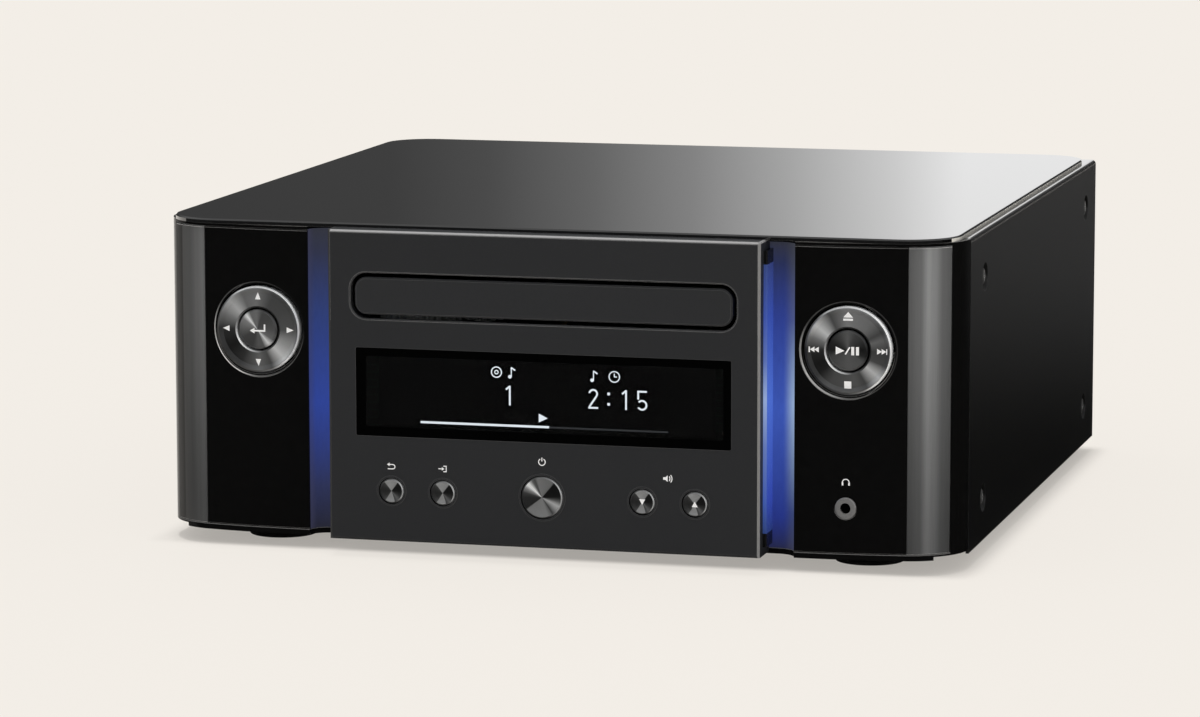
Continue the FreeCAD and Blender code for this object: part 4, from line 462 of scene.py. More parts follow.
@dataclass(frozen=True)
class Skin(Finish):
    """Moulded plastic or painted sheet: a fine grain, soft handling marks and highlights painted on its
    edges.

    Attributes:
        coat: the weight of a clear lacquer over it.
        grain: the closeness of the grain, and depth its depth in metres.
        spread: how far the grain varies the colour.
        edge: how much of the highlight painted on its edges shows, for the width and colour beside it.
        edge_kind: "Mask" for all edges, "Up" for those that face up.
        handling: how far handling shifts the roughness.
        dust: the amount of dust on what faces up.
        glow: how much of its own colour it gives off as painted light, though it is no lamp.
    """

    colour: Colour = (0.01, 0.01, 0.01)
    roughness: float = 0.3
    specular: float = 0.3
    coat: float = 0.0
    coat_roughness: float = 0.05
    grain: float = 900.0
    depth: float = 4e-6
    spread: float = 0.12
    edge: float = 0.0
    edge_width: float = 0.4 * MM
    edge_highlight: Colour = (0.2, 0.2, 0.2)
    edge_kind: str = "Mask"
    handling: float = 0.06
    dust: float = 0.0
    glow: float = 0.0

    def light_lines(self, s: Shader, base: Feed) -> Feed:
        """Paints the skin's own highlight lines over its colour; a plain skin has none."""
        return base

    def wire(self, s: Shader) -> bpy.types.Material:
        """Wires grain, painted edge highlights, dust and handling marks.

        Args:
            s: the material's shader.

        Returns:
            The finished material.
        """
        grain = s.effect(GRAIN, Place=s.place, Scale=self.grain)
        base = s.varied(grain["Mask"], self.colour, self.spread)
        # painted highlight: the edges are mixed towards a lighter grey
        base = s.edges(base, self.edge_width, self.edge, self.edge_highlight, self.edge_kind)
        base = self.light_lines(s, base)
        if self.dust:
            base = s.mix(s.effect(DUST, Place=s.place, Amount=self.dust)["Mask"], base, DUST_COLOUR)
        shift = s.effect(HANDLING, Place=s.place, Amount=self.handling)["Shift"]
        # painted light: with a glow, the skin's own colour shines as emission
        lit = {"Emission Color": base, "Emission Strength": self.glow} if self.glow else {}
        return s.surface({"Base Color": base, "Roughness": s.math("ADD", shift, self.roughness),
                          "Specular IOR Level": self.specular, "Coat Weight": self.coat,
                          "Coat Roughness": self.coat_roughness,
                          "Normal": s.bump(grain["Height"], self.depth), **lit})


@dataclass(frozen=True)
class PanelSkin(Skin):
    """Satin skin of the centre panel, with highlights painted on its top and side bevels and on the rim of
    its upper opening.

    Attributes:
        half: half of the panel's width, in metres.
        top: the height of its upper edge.
        bevel: the width of its bevels.
        opening: the height above which an opening's rim gets a painted highlight.
        rim_share: how much of the rim's painted highlight shows.
        greys: display greys of the painted highlights on the rim and on the top, right and left bevels.
    """

    half: float = 75.0 * MM
    top: float = 111.9 * MM
    bevel: float = 0.8 * MM
    opening: float = 81.0 * MM
    rim_share: float = 0.8
    greys: tuple[float, ...] = (190, 178, 150, 66)

    def light_lines(self, s: Shader, base: Feed) -> Feed:
        """Paints highlights on the bevels, and on the rim of the opening above the window.

        Args:
            s: the material's shader.
            base: the skin's colour.

        Returns:
            The colour with its lines.
        """
        # painted highlights on the opening's rim and on the bevels
        rim_highlight, top_highlight, right_highlight, left_highlight = (grey(value) for value in self.greys)
        x, _, z = s.axes(s.place)
        across, _, up = s.axes(s.flat_normal())
        rim = s.times(s.effect(EDGE_LIGHT)["Mask"], s.above(z, self.opening))
        base = s.mix(s.times(rim, self.rim_share), base, rim_highlight)
        over = s.step(z, self.top - self.bevel, self.top - 0.5 * self.bevel)
        base = s.mix(s.times(over, s.below(up, FACING)), base, top_highlight)
        for way, colour in ((1.0, right_highlight), (-1.0, left_highlight)):
            beside = s.times(s.above(s.times(x, way), self.half - self.bevel),
                             s.below(s.times(across, way), FACING))
            base = s.mix(beside, base, colour)
        return base


@dataclass(frozen=True)
class WingSkin(Skin):
    """Gloss skin of a wing, with a painted highlight line round the well of its keys.

    Attributes:
        centre: x and z of the well's axis, in metres.
        wedges: display greys of the painted highlight round the axis, from the left through below, right and
            above.
        inner: the radius where the line starts.
        outer: the radius where it ends.
    """

    centre: tuple[float, float] = (0.0, 0.0)
    wedges: Wedges = ((0, 190), (0.08, 235), (0.17, 225), (0.26, 120), (0.36, 66), (0.5, 52), (0.75, 66),
                      (0.9, 80), (1, 190))
    inner: float = 16.05 * MM
    outer: float = 16.45 * MM

    def light_lines(self, s: Shader, base: Feed) -> Feed:
        """Paints a highlight on the bevel round the well.

        Args:
            s: the material's shader.
            base: the skin's colour.

        Returns:
            The colour with its line.
        """
        turned = s.effect(TURNING, Place=s.map(s.place, centre=(self.centre[0], 0.0, self.centre[1])))
        # painted highlight: greys by the angle round the well
        light = s.ramp(turned["Angle"], [(place, grey(level)) for place, level in self.wedges], smooth=True)
        return s.mix(s.between(turned["Radius"], self.inner, self.outer), base, light)


@dataclass(frozen=True)
class PlateLacquer(Skin):
    """Lacquer of the top plate, with a painted reflection of the pale surroundings on its upright right edge.
    """

    # painted reflection: the pale colour of the upright right edge
    edge_light: Colour = tint(250, 247, 238)

    def light_lines(self, s: Shader, base: Feed) -> Feed:
        """Paints the pale reflection on the upright right edge."""
        return s.mix(s.above(s.axes(s.flat_normal())[0], FACING), base, self.edge_light)


@dataclass(frozen=True)
class CoverPaint(Skin):
    """Paint of the cover: satin on its sides, and a clear lacquer on the margin round the top plate."""

    margin_roughness: float = 0.08

    def wire(self, s: Shader) -> bpy.types.Material:
        """Wires the satin skin and lays the lacquer on what faces up.

        Args:
            s: the material's shader.

        Returns:
            The finished material.
        """
        super().wire(s)
        up = s.above(s.axes(s.flat_normal())[2], FACING)
        fall = self.margin_roughness - self.roughness
        return s.surface({"Coat Weight": up, "Roughness": s.linear(up, fall, self.roughness)})


@dataclass(frozen=True)
class Metal(Finish):
    """Bare, plated or anodised metal with brushing, tarnish and highlights painted on its edges.

    Attributes:
        stretch: how the brushed lines are stretched along each axis.
        lines: the closeness of the lines, and depth their depth in metres.
        spread: how far the lines vary the colour.
        edge: how much of the highlight painted on its edges shows, for the width and colour beside it.
    """

    colour: Colour = (0.5, 0.5, 0.5)
    roughness: float = 0.3
    stretch: Colour = WHITE
    lines: float = 500.0
    depth: float = 3e-6
    spread: float = 0.15
    edge: float = 0.0
    edge_width: float = 0.3 * MM
    edge_highlight: Colour = (0.7, 0.7, 0.7)
    metallic: float = 1.0

    def wire(self, s: Shader) -> bpy.types.Material:
        """Wires brushing, patches of tarnish and painted edge highlights.

        Args:
            s: the material's shader.

        Returns:
            The finished material.
        """
        brushed = s.effect(BRUSHING, Place=s.map(s.place, stretch=self.stretch), Scale=self.lines)
        base = s.varied(brushed["Mask"], self.colour, self.spread)
        patches = s.effect(HANDLING, Place=s.place, Scale=60.0, Amount=0.15)["Shift"]
        # painted highlight on the edges
        return s.surface({"Base Color": s.edges(base, self.edge_width, self.edge, self.edge_highlight),
                          "Metallic": self.metallic, "Roughness": s.math("ADD", patches, self.roughness),
                          "Normal": s.bump(brushed["Height"], self.depth)})


@dataclass(frozen=True)
class TurnedMetal(Finish):
    """A metal face turned on a lathe: circular lines, and painted wedges of reflected light round its axis.

    Attributes:
        centre: x and z of the axis, in metres.
        zones: from the axis outwards, the radius where each zone starts and its painted reflection greys
            round the axis, from the left through below, right and above.
        gain: how much brighter the paint is than the greys, to make up for the dim light on a front.
        streaks: the factors of the darkest and the brightest circular line.
    """

    centre: tuple[float, float] = (0.0, 0.0)
    zones: tuple[tuple[float, Wedges], ...] = ((0.0, ((0, 80), (1, 80))),)
    gain: float = 1.5
    lines: float = 42000.0
    streaks: tuple[float, float] = (0.86, 1.12)

    def wire(self, s: Shader) -> bpy.types.Material:
        """Wires the lines and the painted reflection wedges of each zone.

        Args:
            s: the material's shader.

        Returns:
            The finished material.
        """
        place = s.map(s.place, centre=(self.centre[0], 0.0, self.centre[1]))
        turned = s.effect(TURNING, Place=place, Lines=self.lines)
        face = None
        for start, wedges in self.zones:
            # painted reflections: greys by the angle round the axis, zone by zone
            band = s.greys(turned["Angle"], wedges, self.gain)
            face = band if face is None else s.mix(s.above(turned["Radius"], start), face, band)
        streak = s.mix(turned["Height"], *(scaled(WHITE, factor) for factor in self.streaks))
        return s.surface({"Base Color": s.mix(1.0, face, streak, "MULTIPLY"), "Metallic": 0.2,
                          "Roughness": 0.34, "Specular IOR Level": 0.4, "Anisotropic": 0.6,
                          "Normal": s.bump(turned["Height"], 1.5e-6)})


@dataclass(frozen=True)
class PillarMetal(Finish):
    """Satin metal of the corner pillars: upright streaks, with light and shade painted across each, painted
    shade towards the bottom and painted highlights on edges that face up.

    Attributes:
        inner: the distance from the middle where a pillar starts, in metres.
        outer: where it ends.
        full_height: the height below which painted shade darkens the pillar, to half at its foot.
        left: display greys of the light and shade painted across the left pillar, from its inner to its outer
            side.
        right: the same for the right pillar.
        gain: how much brighter the paint is than the greys, to make up for the dim light on a front.
    """

    inner: float = 122.6 * MM
    outer: float = 135.6 * MM
    full_height: float = 100.0 * MM
    left: Wedges = ((0, 84), (0.08, 96), (0.25, 88), (0.5, 70), (0.72, 60), (0.77, 12), (1, 9))
    right: Wedges = ((0, 72), (0.06, 84), (0.3, 94), (0.5, 128), (0.62, 118), (0.85, 86), (1, 78))
    gain: float = 1.75

    def wire(self, s: Shader) -> bpy.types.Material:
        """Wires the streaks, the painted light and shade of the two sides, and the painted shade low down.

        Args:
            s: the material's shader.

        Returns:
            The finished material.
        """
        x, _, z = s.axes(s.place)
        across = s.step(s.math("ABSOLUTE", x), self.inner, self.outer, smooth=False)
        # painted light and shade across each pillar
        left, right = (s.greys(across, tones, self.gain, smooth=True) for tones in (self.left, self.right))
        streaks = s.effect(BRUSHING, Place=s.map(s.place, stretch=(1.0, 1.0, 0.02)), Scale=900.0)
        # painted shade: darker towards the bottom, to half at the foot
        low = s.linear(s.step(z, 0.0, self.full_height), 0.5, 0.5)
        level = s.times(low, s.linear(streaks["Mask"], 0.2, 0.9))
        base = s.mix(level, BLACK, s.mix(s.above(x, 0.0), left, right))
        # painted highlight on the edges that face up
        return s.surface({"Base Color": s.edges(base, 0.4 * MM, 0.8, grey(250), "Up"), "Metallic": 0.2,
                          "Roughness": 0.42, "Specular IOR Level": 0.35,
                          "Normal": s.bump(streaks["Height"], 4e-6)})


@dataclass(frozen=True)
class LitFlute(Finish):
    """Satin flute beside the centre panel, with the blue light of the guide painted on as a glow.

    Attributes:
        inner: the distance from the middle where a flute starts, in metres.
        outer: where it ends.
        low: the height of its lower end.
        high: the height of its upper end.
        left: the painted glow up the left flute.
        dull: display colour of the painted glow at the left flute's outer rim.
        deep: the painted glow up the right flute's inner side.
        pale: the painted glow up its outer side.
    """

    inner: float = 76.0 * MM
    outer: float = 84.9 * MM
    low: float = 7.2 * MM
    high: float = 110.5 * MM
    left: Tones = ((0, 32, 33, 48), (0.14, 42, 48, 84), (0.42, 44, 66, 150), (0.72, 44, 60, 116),
                   (0.92, 46, 50, 72), (1, 50, 52, 62))
    dull: Colour = (60, 60, 84)
    deep: Tones = ((0, 30, 34, 70), (0.1, 32, 48, 128), (0.45, 56, 84, 178), (0.75, 42, 60, 140),
                   (0.93, 36, 44, 84), (1, 46, 48, 60))
    pale: Tones = ((0, 56, 58, 80), (0.12, 56, 68, 112), (0.48, 150, 174, 206), (0.75, 76, 86, 132),
                   (0.93, 62, 66, 84), (1, 58, 60, 68))

    def wire(self, s: Shader) -> bpy.types.Material:
        """Wires the painted glow: strongest at mid height, grey at the top, paler at the outer rim on the
        right.

        Args:
            s: the material's shader.

        Returns:
            The finished material.
        """
        x, _, z = s.axes(s.place)
        up = s.step(z, self.low, self.high, smooth=False)
        left, deep, pale = (s.tones(up, rows) for rows in (self.left, self.deep, self.pale))
        span = s.math("ABSOLUTE", x)
        right = s.mix(s.step(span, self.inner + 3.5 * MM, self.outer - 0.4 * MM), deep, pale)
        margin = s.times(s.step(span, self.outer - 1.6 * MM, self.outer), 0.45)
        # painted light: the guide's blue glow on the flute, given as emission
        painted_glow = s.mix(s.above(x, 0.0), s.mix(margin, left, tint(*self.dull)), right)
        grain = s.effect(GRAIN, Place=s.map(s.place, stretch=(1.0, 1.0, 0.3)), Scale=1100.0)
        return s.surface({"Base Color": grey(34), "Roughness": 0.5, "Specular IOR Level": 0.12,
                          "Emission Color": s.mix(s.times(grain["Mask"], 0.12), painted_glow, BLACK),
                          "Emission Strength": 1.0, "Normal": s.bump(grain["Height"], 5e-6)})


@dataclass(frozen=True)
class GlowGuide(Finish):
    """Clear guide that carries the blue light, with dark caps over its ends.

    Attributes:
        low: the height where the light starts, in metres.
        high: where it ends.
        face: the light up the guide's front.
        flank: the light up its other sides.
        left_share: how bright the left guide is beside the right one.
    """

    low: float = 13.5 * MM
    high: float = 104.0 * MM
    face: Tones = ((0, 28, 42, 84), (0.12, 55, 78, 150), (0.32, 92, 110, 164), (0.5, 142, 160, 196),
                   (0.64, 84, 102, 160), (0.8, 52, 70, 146), (1, 40, 50, 92))
    flank: Tones = ((0, 26, 38, 84), (0.12, 38, 54, 140), (0.5, 64, 92, 174), (0.8, 43, 62, 140),
                    (1, 38, 46, 92))
    left_share: float = 0.5

    def wire(self, s: Shader) -> bpy.types.Material:
        """Wires the light along the guide, brighter on its front, and the dark end caps.

        Args:
            s: the material's shader.

        Returns:
            The finished material.
        """
        x, _, z = s.axes(s.place)
        up = s.step(z, self.low, self.high, smooth=False)
        ahead = s.below(s.axes(s.flat_normal())[1], -0.5)
        lit = s.between(z, self.low, self.high)
        glow = s.mix(lit, BLACK, s.mix(ahead, s.tones(up, self.flank), s.tones(up, self.face)))
        side = s.mix(s.above(x, 0.0), scaled(WHITE, self.left_share), WHITE)
        haze = s.effect(GRAIN, Place=s.place, Scale=1500.0)
        return s.surface({"Base Color": s.mix(lit, grey(22), tint(50, 70, 120)), "Roughness": 0.22,
                          "Specular IOR Level": 0.3, "Emission Color": s.mix(1.0, glow, side, "MULTIPLY"),
                          "Emission Strength": 1.0, "Normal": s.bump(haze["Height"], 2e-6)})


@dataclass(frozen=True)
class SmokedWindow(Finish):
    """Smoked clear window over the display."""

    colour: Colour = (0.16, 0.165, 0.17)

    def wire(self, s: Shader) -> bpy.types.Material:
        """Wires a dark clear plastic with faint wiping marks.

        Args:
            s: the material's shader.

        Returns:
            The finished material.
        """
        shift = s.effect(HANDLING, Place=s.place, Scale=45.0, Amount=0.03)["Shift"]
        wave = s.effect(GRAIN, Place=s.place, Scale=60.0)
        return s.surface({"Base Color": s.mix(wave["Mask"], scaled(self.colour, 0.97), self.colour),
                          "Roughness": s.math("ADD", shift, 0.02), "Transmission Weight": 1.0, "IOR": 1.3,
                          "Specular IOR Level": 0.1, "Normal": s.bump(wave["Height"], 1e-7)})


@dataclass(frozen=True)
class CircuitBoard(Finish):
    """Board with tracks and pads; what stands on it is coloured by its place.

    Attributes:
        plate: the lowest and highest coordinate of the bare board along its axis, in metres.
        axis: the direction square to the board.
        mask: the colour of the solder mask.
        margin: how far off the plate a face may lie and still be board.
        pads: the closeness of the pads.
        components: the closeness of what stands on the board.
    """

    plate: tuple[float, float] = (0.0, 2.0 * MM)
    axis: Axis = Axis.Z
    mask: Colour = (0.01, 0.06, 0.03)
    margin: float = 0.05 * MM
    pads: float = 220.0
    components: float = 42.0

    def wire(self, s: Shader) -> bpy.types.Material:
        """Wires solder mask, tracks, pads and parts.

        Args:
            s: the material's shader.

        Returns:
            The finished material.
        """
        parts = s.axes(s.place)
        on_board = s.between(parts[self.axis.value], self.plate[0] - self.margin, self.plate[1] + self.margin)
        along = [parts[k] for k in range(3) if k != self.axis.value]
        flat = s.node("ShaderNodeCombineXYZ", dict(enumerate(along))).outputs[0]
        tracks = s.node("ShaderNodeTexBrick", {"Vector": flat, "Scale": 120.0, "Mortar Size": 0.035,
                                               "Brick Width": 1.3, "Row Height": 0.31, "Color1": self.mask,
                                               "Color2": scaled(self.mask, 0.8),
                                               "Mortar": scaled(self.mask, 2.4)},
                        offset=0.37, squash=0.6).outputs
        spots = s.node("ShaderNodeTexVoronoi", {"Vector": flat, "Scale": self.pads, "Randomness": 0.55})
        pad = s.below(spots.outputs["Distance"], 0.2)
        bare = s.mix(pad, tracks["Color"], (0.55, 0.52, 0.45))
        cells = s.node("ShaderNodeTexVoronoi", {"Vector": flat, "Scale": self.components})
        stand = s.ramp(s.axes(cells.outputs["Color"])[0],
                       [(0.0, grey(30)), (0.4, grey(36)), (0.5, tint(60, 62, 70)), (0.7, tint(70, 66, 40)),
                        (0.85, tint(150, 150, 152)), (1.0, tint(40, 50, 90))], smooth=True)
        height = s.linear(tracks["Fac"], 0.5, s.times(pad, 0.5))
        return s.surface({"Base Color": s.mix(on_board, stand, bare), "Roughness": 0.42,
                          "Specular IOR Level": 0.4, "Metallic": s.times(s.times(pad, on_board), 0.8),
                          "Normal": s.bump(height, 2e-5)})


@dataclass(frozen=True)
class TwoTone(Finish):
    """Plastic on the near side of a plane and metal, or another plastic, beyond it.

    Attributes:
        axis: the direction square to the plane, and plane its coordinate in metres.
        below: the colour under the plane; above is the one over it.
        edge: how much of the highlight painted on its edges shows.
    """

    axis: Axis = Axis.Y
    plane: float = 0.0
    below: Colour = (0.01, 0.01, 0.01)
    above: Colour = (0.6, 0.6, 0.6)
    below_metal: float = 0.0
    above_metal: float = 1.0
    below_roughness: float = 0.4
    above_roughness: float = 0.25
    edge: float = 0.25

    def wire(self, s: Shader) -> bpy.types.Material:
        """Wires the two surfaces on their sides of the plane.

        Args:
            s: the material's shader.

        Returns:
            The finished material.
        """
        past = s.above(s.axes(s.place)[self.axis.value], self.plane)
        grain = s.effect(GRAIN, Place=s.place, Scale=1000.0)
        shade = s.mix(s.times(grain["Mask"], 0.2), s.mix(past, self.below, self.above), BLACK)
        metal = s.linear(past, self.above_metal - self.below_metal, self.below_metal)
        rough = s.linear(past, self.above_roughness - self.below_roughness, self.below_roughness)
        # painted highlight on the edges
        return s.surface({"Base Color": s.edges(shade, 0.2 * MM, self.edge, grey(170)), "Metallic": metal,
                          "Roughness": rough, "Specular IOR Level": 0.3,
                          "Normal": s.bump(grain["Height"], 4e-6)})


@dataclass(frozen=True)
class Lit(Finish):
    """A sign or readout that shines, with faint cells in it."""

    colour: Colour = (0.9, 0.93, 1.0)
    strength: float = 1.0
    body: Colour = (0.5, 0.5, 0.5)

    def wire(self, s: Shader) -> bpy.types.Material:
        """Wires the light with a slight unevenness.

        Args:
            s: the material's shader.

        Returns:
            The finished material.
        """
        cells = s.effect(GRAIN, Place=s.place, Scale=2600.0)
        return s.surface({"Base Color": self.body, "Roughness": 0.5, "Specular IOR Level": 0.1,
                          "Emission Color": s.mix(cells["Mask"], scaled(self.colour, 0.9), self.colour),
                          "Emission Strength": self.strength, "Normal": s.bump(cells["Height"], 1e-6)})


class Part(Enum):
    """Finishes by what they are on."""

    # painted highlights on the gloss parts' edges that face up
    GLOSS = Skin("gloss_black", grey(15), 0.1, 0.06, grain=320.0, depth=4e-7, edge=0.9, edge_highlight=grey(150),
                 edge_kind="Up", handling=0.05)
    PLATE = PlateLacquer("plate_lacquer", grey(6), 0.045, 1.0, coat=1.0, coat_roughness=0.03, grain=200.0,
                         depth=2e-7, edge=0.3, edge_highlight=grey(120), handling=0.02)
    COVER = CoverPaint("cover_paint", grey(23), 0.3, 0.2, grain=1500.0, depth=9e-6, edge=0.35,
                       edge_width=0.6 * MM, edge_highlight=grey(90), handling=0.04, dust=0.02)
    REAR = Skin("rear_paint", grey(24), 0.5, 0.25, grain=1300.0, depth=1.2e-5, edge=0.3, edge_highlight=grey(90))
    PANEL = PanelSkin("panel_satin", tint(51, 52, 54), 0.42, 0.12, grain=1800.0, edge=0.3,
                      edge_width=0.3 * MM, edge_highlight=grey(150), spread=0.06)
    DOOR = Skin("door_satin", tint(53, 54, 56), 0.42, 0.12, grain=1800.0, edge=0.6, edge_width=0.3 * MM,
                edge_highlight=grey(160), spread=0.06)
    MOULDED = Skin("black_plastic", grey(28), 0.45, grain=1200.0, depth=9e-6, edge=0.2, edge_highlight=grey(90))
    TRAY = Skin("tray_plastic", grey(30), 0.5, grain=1600.0, depth=1.4e-5, edge=0.2, edge_highlight=grey(90),
                dust=0.03)
    NATURAL = Skin("white_plastic", grey(212), 0.42, 0.4, grain=700.0, depth=6e-6, edge=0.1,
                   edge_highlight=grey(240), spread=0.05)
    DISPLAY = Skin("display_glass", grey(6), 0.12, 0.1, grain=500.0, depth=5e-7)
    RUBBER = Skin("belt_rubber", grey(22), 0.75, 0.2, grain=2400.0, depth=1.2e-5)
    RED = Skin("cap_red", tint(172, 24, 20), 0.2, 0.5, grain=500.0, depth=3e-6, edge=0.2,
               edge_highlight=tint(255, 150, 140))
    BLACK_CAP = Skin("cap_black", grey(18), 0.2, 0.5, grain=500.0, depth=3e-6, edge=0.3,
                     edge_highlight=grey(120))
    # painted light: the white ink glows a little, though print is no lamp
    INK = Skin("white_ink", grey(240), 0.55, 0.2, grain=2600.0, depth=2e-6, spread=0.03, glow=0.2)
    # painted glints: the screws' edges lighten to near white
    SCREW = Metal("screw_black", grey(96), lines=1400.0, edge=0.9, edge_highlight=grey(250), metallic=0.5)
    ZINC = Metal("zinc_steel", grey(172), 0.36, stretch=(1.0, 0.15, 1.0), lines=260.0, spread=0.12, edge=0.2)
    STEEL = Metal("plain_steel", grey(190), 0.26, stretch=(1.0, 1.0, 0.2), lines=700.0)
    BRASS = Metal("brass", tint(206, 172, 96), 0.24, lines=900.0, edge=0.3, edge_highlight=tint(245, 225, 160))
    ALUMINIUM = Metal("aluminium", grey(178), 0.38, stretch=(1.0, 0.05, 1.0), edge=0.3)
    NICKEL = Metal("nickel", grey(196), 0.2, lines=900.0, edge=0.3)
    PILLAR = PillarMetal("satin_grey")
    FLUTE = LitFlute("flute_satin")
    GUIDE = GlowGuide("clear_guide")
    WINDOW = SmokedWindow("window")
    MAIN_BOARD = CircuitBoard("main_board", (14.2 * MM, 15.8 * MM))
    POWER_BOARD = CircuitBoard("power_board", (14.2 * MM, 15.8 * MM), mask=(0.05, 0.035, 0.008))
    FRONT_BOARD = CircuitBoard("front_board", (-200.0 * MM, 200.0 * MM), Axis.Y)
    FOOT = TwoTone("foot_plastic", Axis.Z, 1.0 * MM, grey(34), grey(12), above_metal=0.0, below_roughness=0.8,
                   above_roughness=0.14, edge=0.3)
    PHONES = TwoTone("phones_jack", Axis.Y, -141.5 * MM, grey(150), grey(10), below_metal=0.3,
                     above_metal=0.0, below_roughness=0.3, above_roughness=0.5, edge=0.6)
    SOCKETS = TwoTone("audio_sockets", Axis.Y, 135.2 * MM, grey(24), grey(200))
    ANTENNA = TwoTone("antenna_nickel", Axis.Y, 120.0 * MM, grey(150), grey(196), below_metal=1.0)
    READOUT = Lit("readout_light", (0.86, 0.9, 0.94), 6.0)
    DIM_READOUT = Lit("readout_dim", (0.06, 0.062, 0.066), 3.2, (0.02, 0.02, 0.02))


def centre_of(node: str) -> Vector:
    """Gives the middle of a CAD node's box, in metres."""
    low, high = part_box(node)
    return (Vector(low) + Vector(high)) / 2


def spot_of(node: str) -> tuple[float, float]:
    """Gives x and z of a CAD node's middle, in millimetres."""
    middle = centre_of(node)
    return middle.x / MM, middle.z / MM


def mesh_of(name: str, shape: bmesh.types.BMesh) -> bpy.types.Mesh:
    """Turns a finished shape into a mesh.

    Args:
        name: the mesh's name.
        shape: the shape, which is freed.

    Returns:
        The mesh.
    """
    mesh = bpy.data.meshes.new(name)
    shape.to_mesh(mesh)
    shape.free()
    return mesh


def put(name: str, data: Any) -> bpy.types.Object:
    """Puts an object into the scene.

    Args:
        name: the object's name.
        data: its mesh, curve, lamp or camera.

    Returns:
        The object.
    """
    made = bpy.data.objects.new(name, data)
    bpy.context.scene.collection.objects.link(made)
    return made


def new_piece(name: str, shape: bmesh.types.BMesh, finish: Finish, body: str, slot: str,
              stands_for: Optional[str] = None, smooth: float = 35.0) -> bpy.types.Object:
    """Makes an object of a finished shape, dresses it and puts it on its body.

    Args:
        name: the piece's name.
        shape: its shape in metres, in place; it is freed.
        finish: its finish.
        body: the body that it rides on.
        slot: the record's material slot; it is not used.
        stands_for: the CAD node that it replaces, if any.
        smooth: edges flatter than this many degrees are shaded smooth.

    Returns:
        The new object.
    """
    mesh = mesh_of(name, shape)
    mesh.shade_smooth()
    mesh.set_sharp_from_angle(angle=math.radians(smooth))
    mesh.materials.append(finish.material())
    piece = put(name, mesh)
    if stands_for:
        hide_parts(stands_for)
    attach(piece, body)
    LOG.info("%s: %d faces", name, len(mesh.polygons))
    return piece


class Surface:
    """Finds where a CAD node's front or back surface lies."""

    def __init__(self, node: str) -> None:
        """Prepares the node's mesh for the search.

        Args:
            node: the name of the node.
        """
        mesh = CAD["nodes"][node].data
        self.node = node
        self.tree = BVHTree.FromPolygons([vert.co for vert in mesh.vertices],
                                         [tuple(face.vertices) for face in mesh.polygons])

    def depth(self, x: float, z: float, rear: bool = False) -> float:
        """Finds the surface's y at a place.

        Args:
            x: the place across, in millimetres.
            z: the height, in millimetres.
            rear: True for the back surface.

        Returns:
            The surface's y in millimetres.
        """
        way = -1.0 if rear else 1.0
        hit = self.tree.ray_cast(Vector((x * MM, -way, z * MM)), Vector((0.0, way, 0.0)))[0]
        if hit is None:
            raise ValueError(f"{self.node} has no surface at {x}, {z}")
        return hit.y / MM


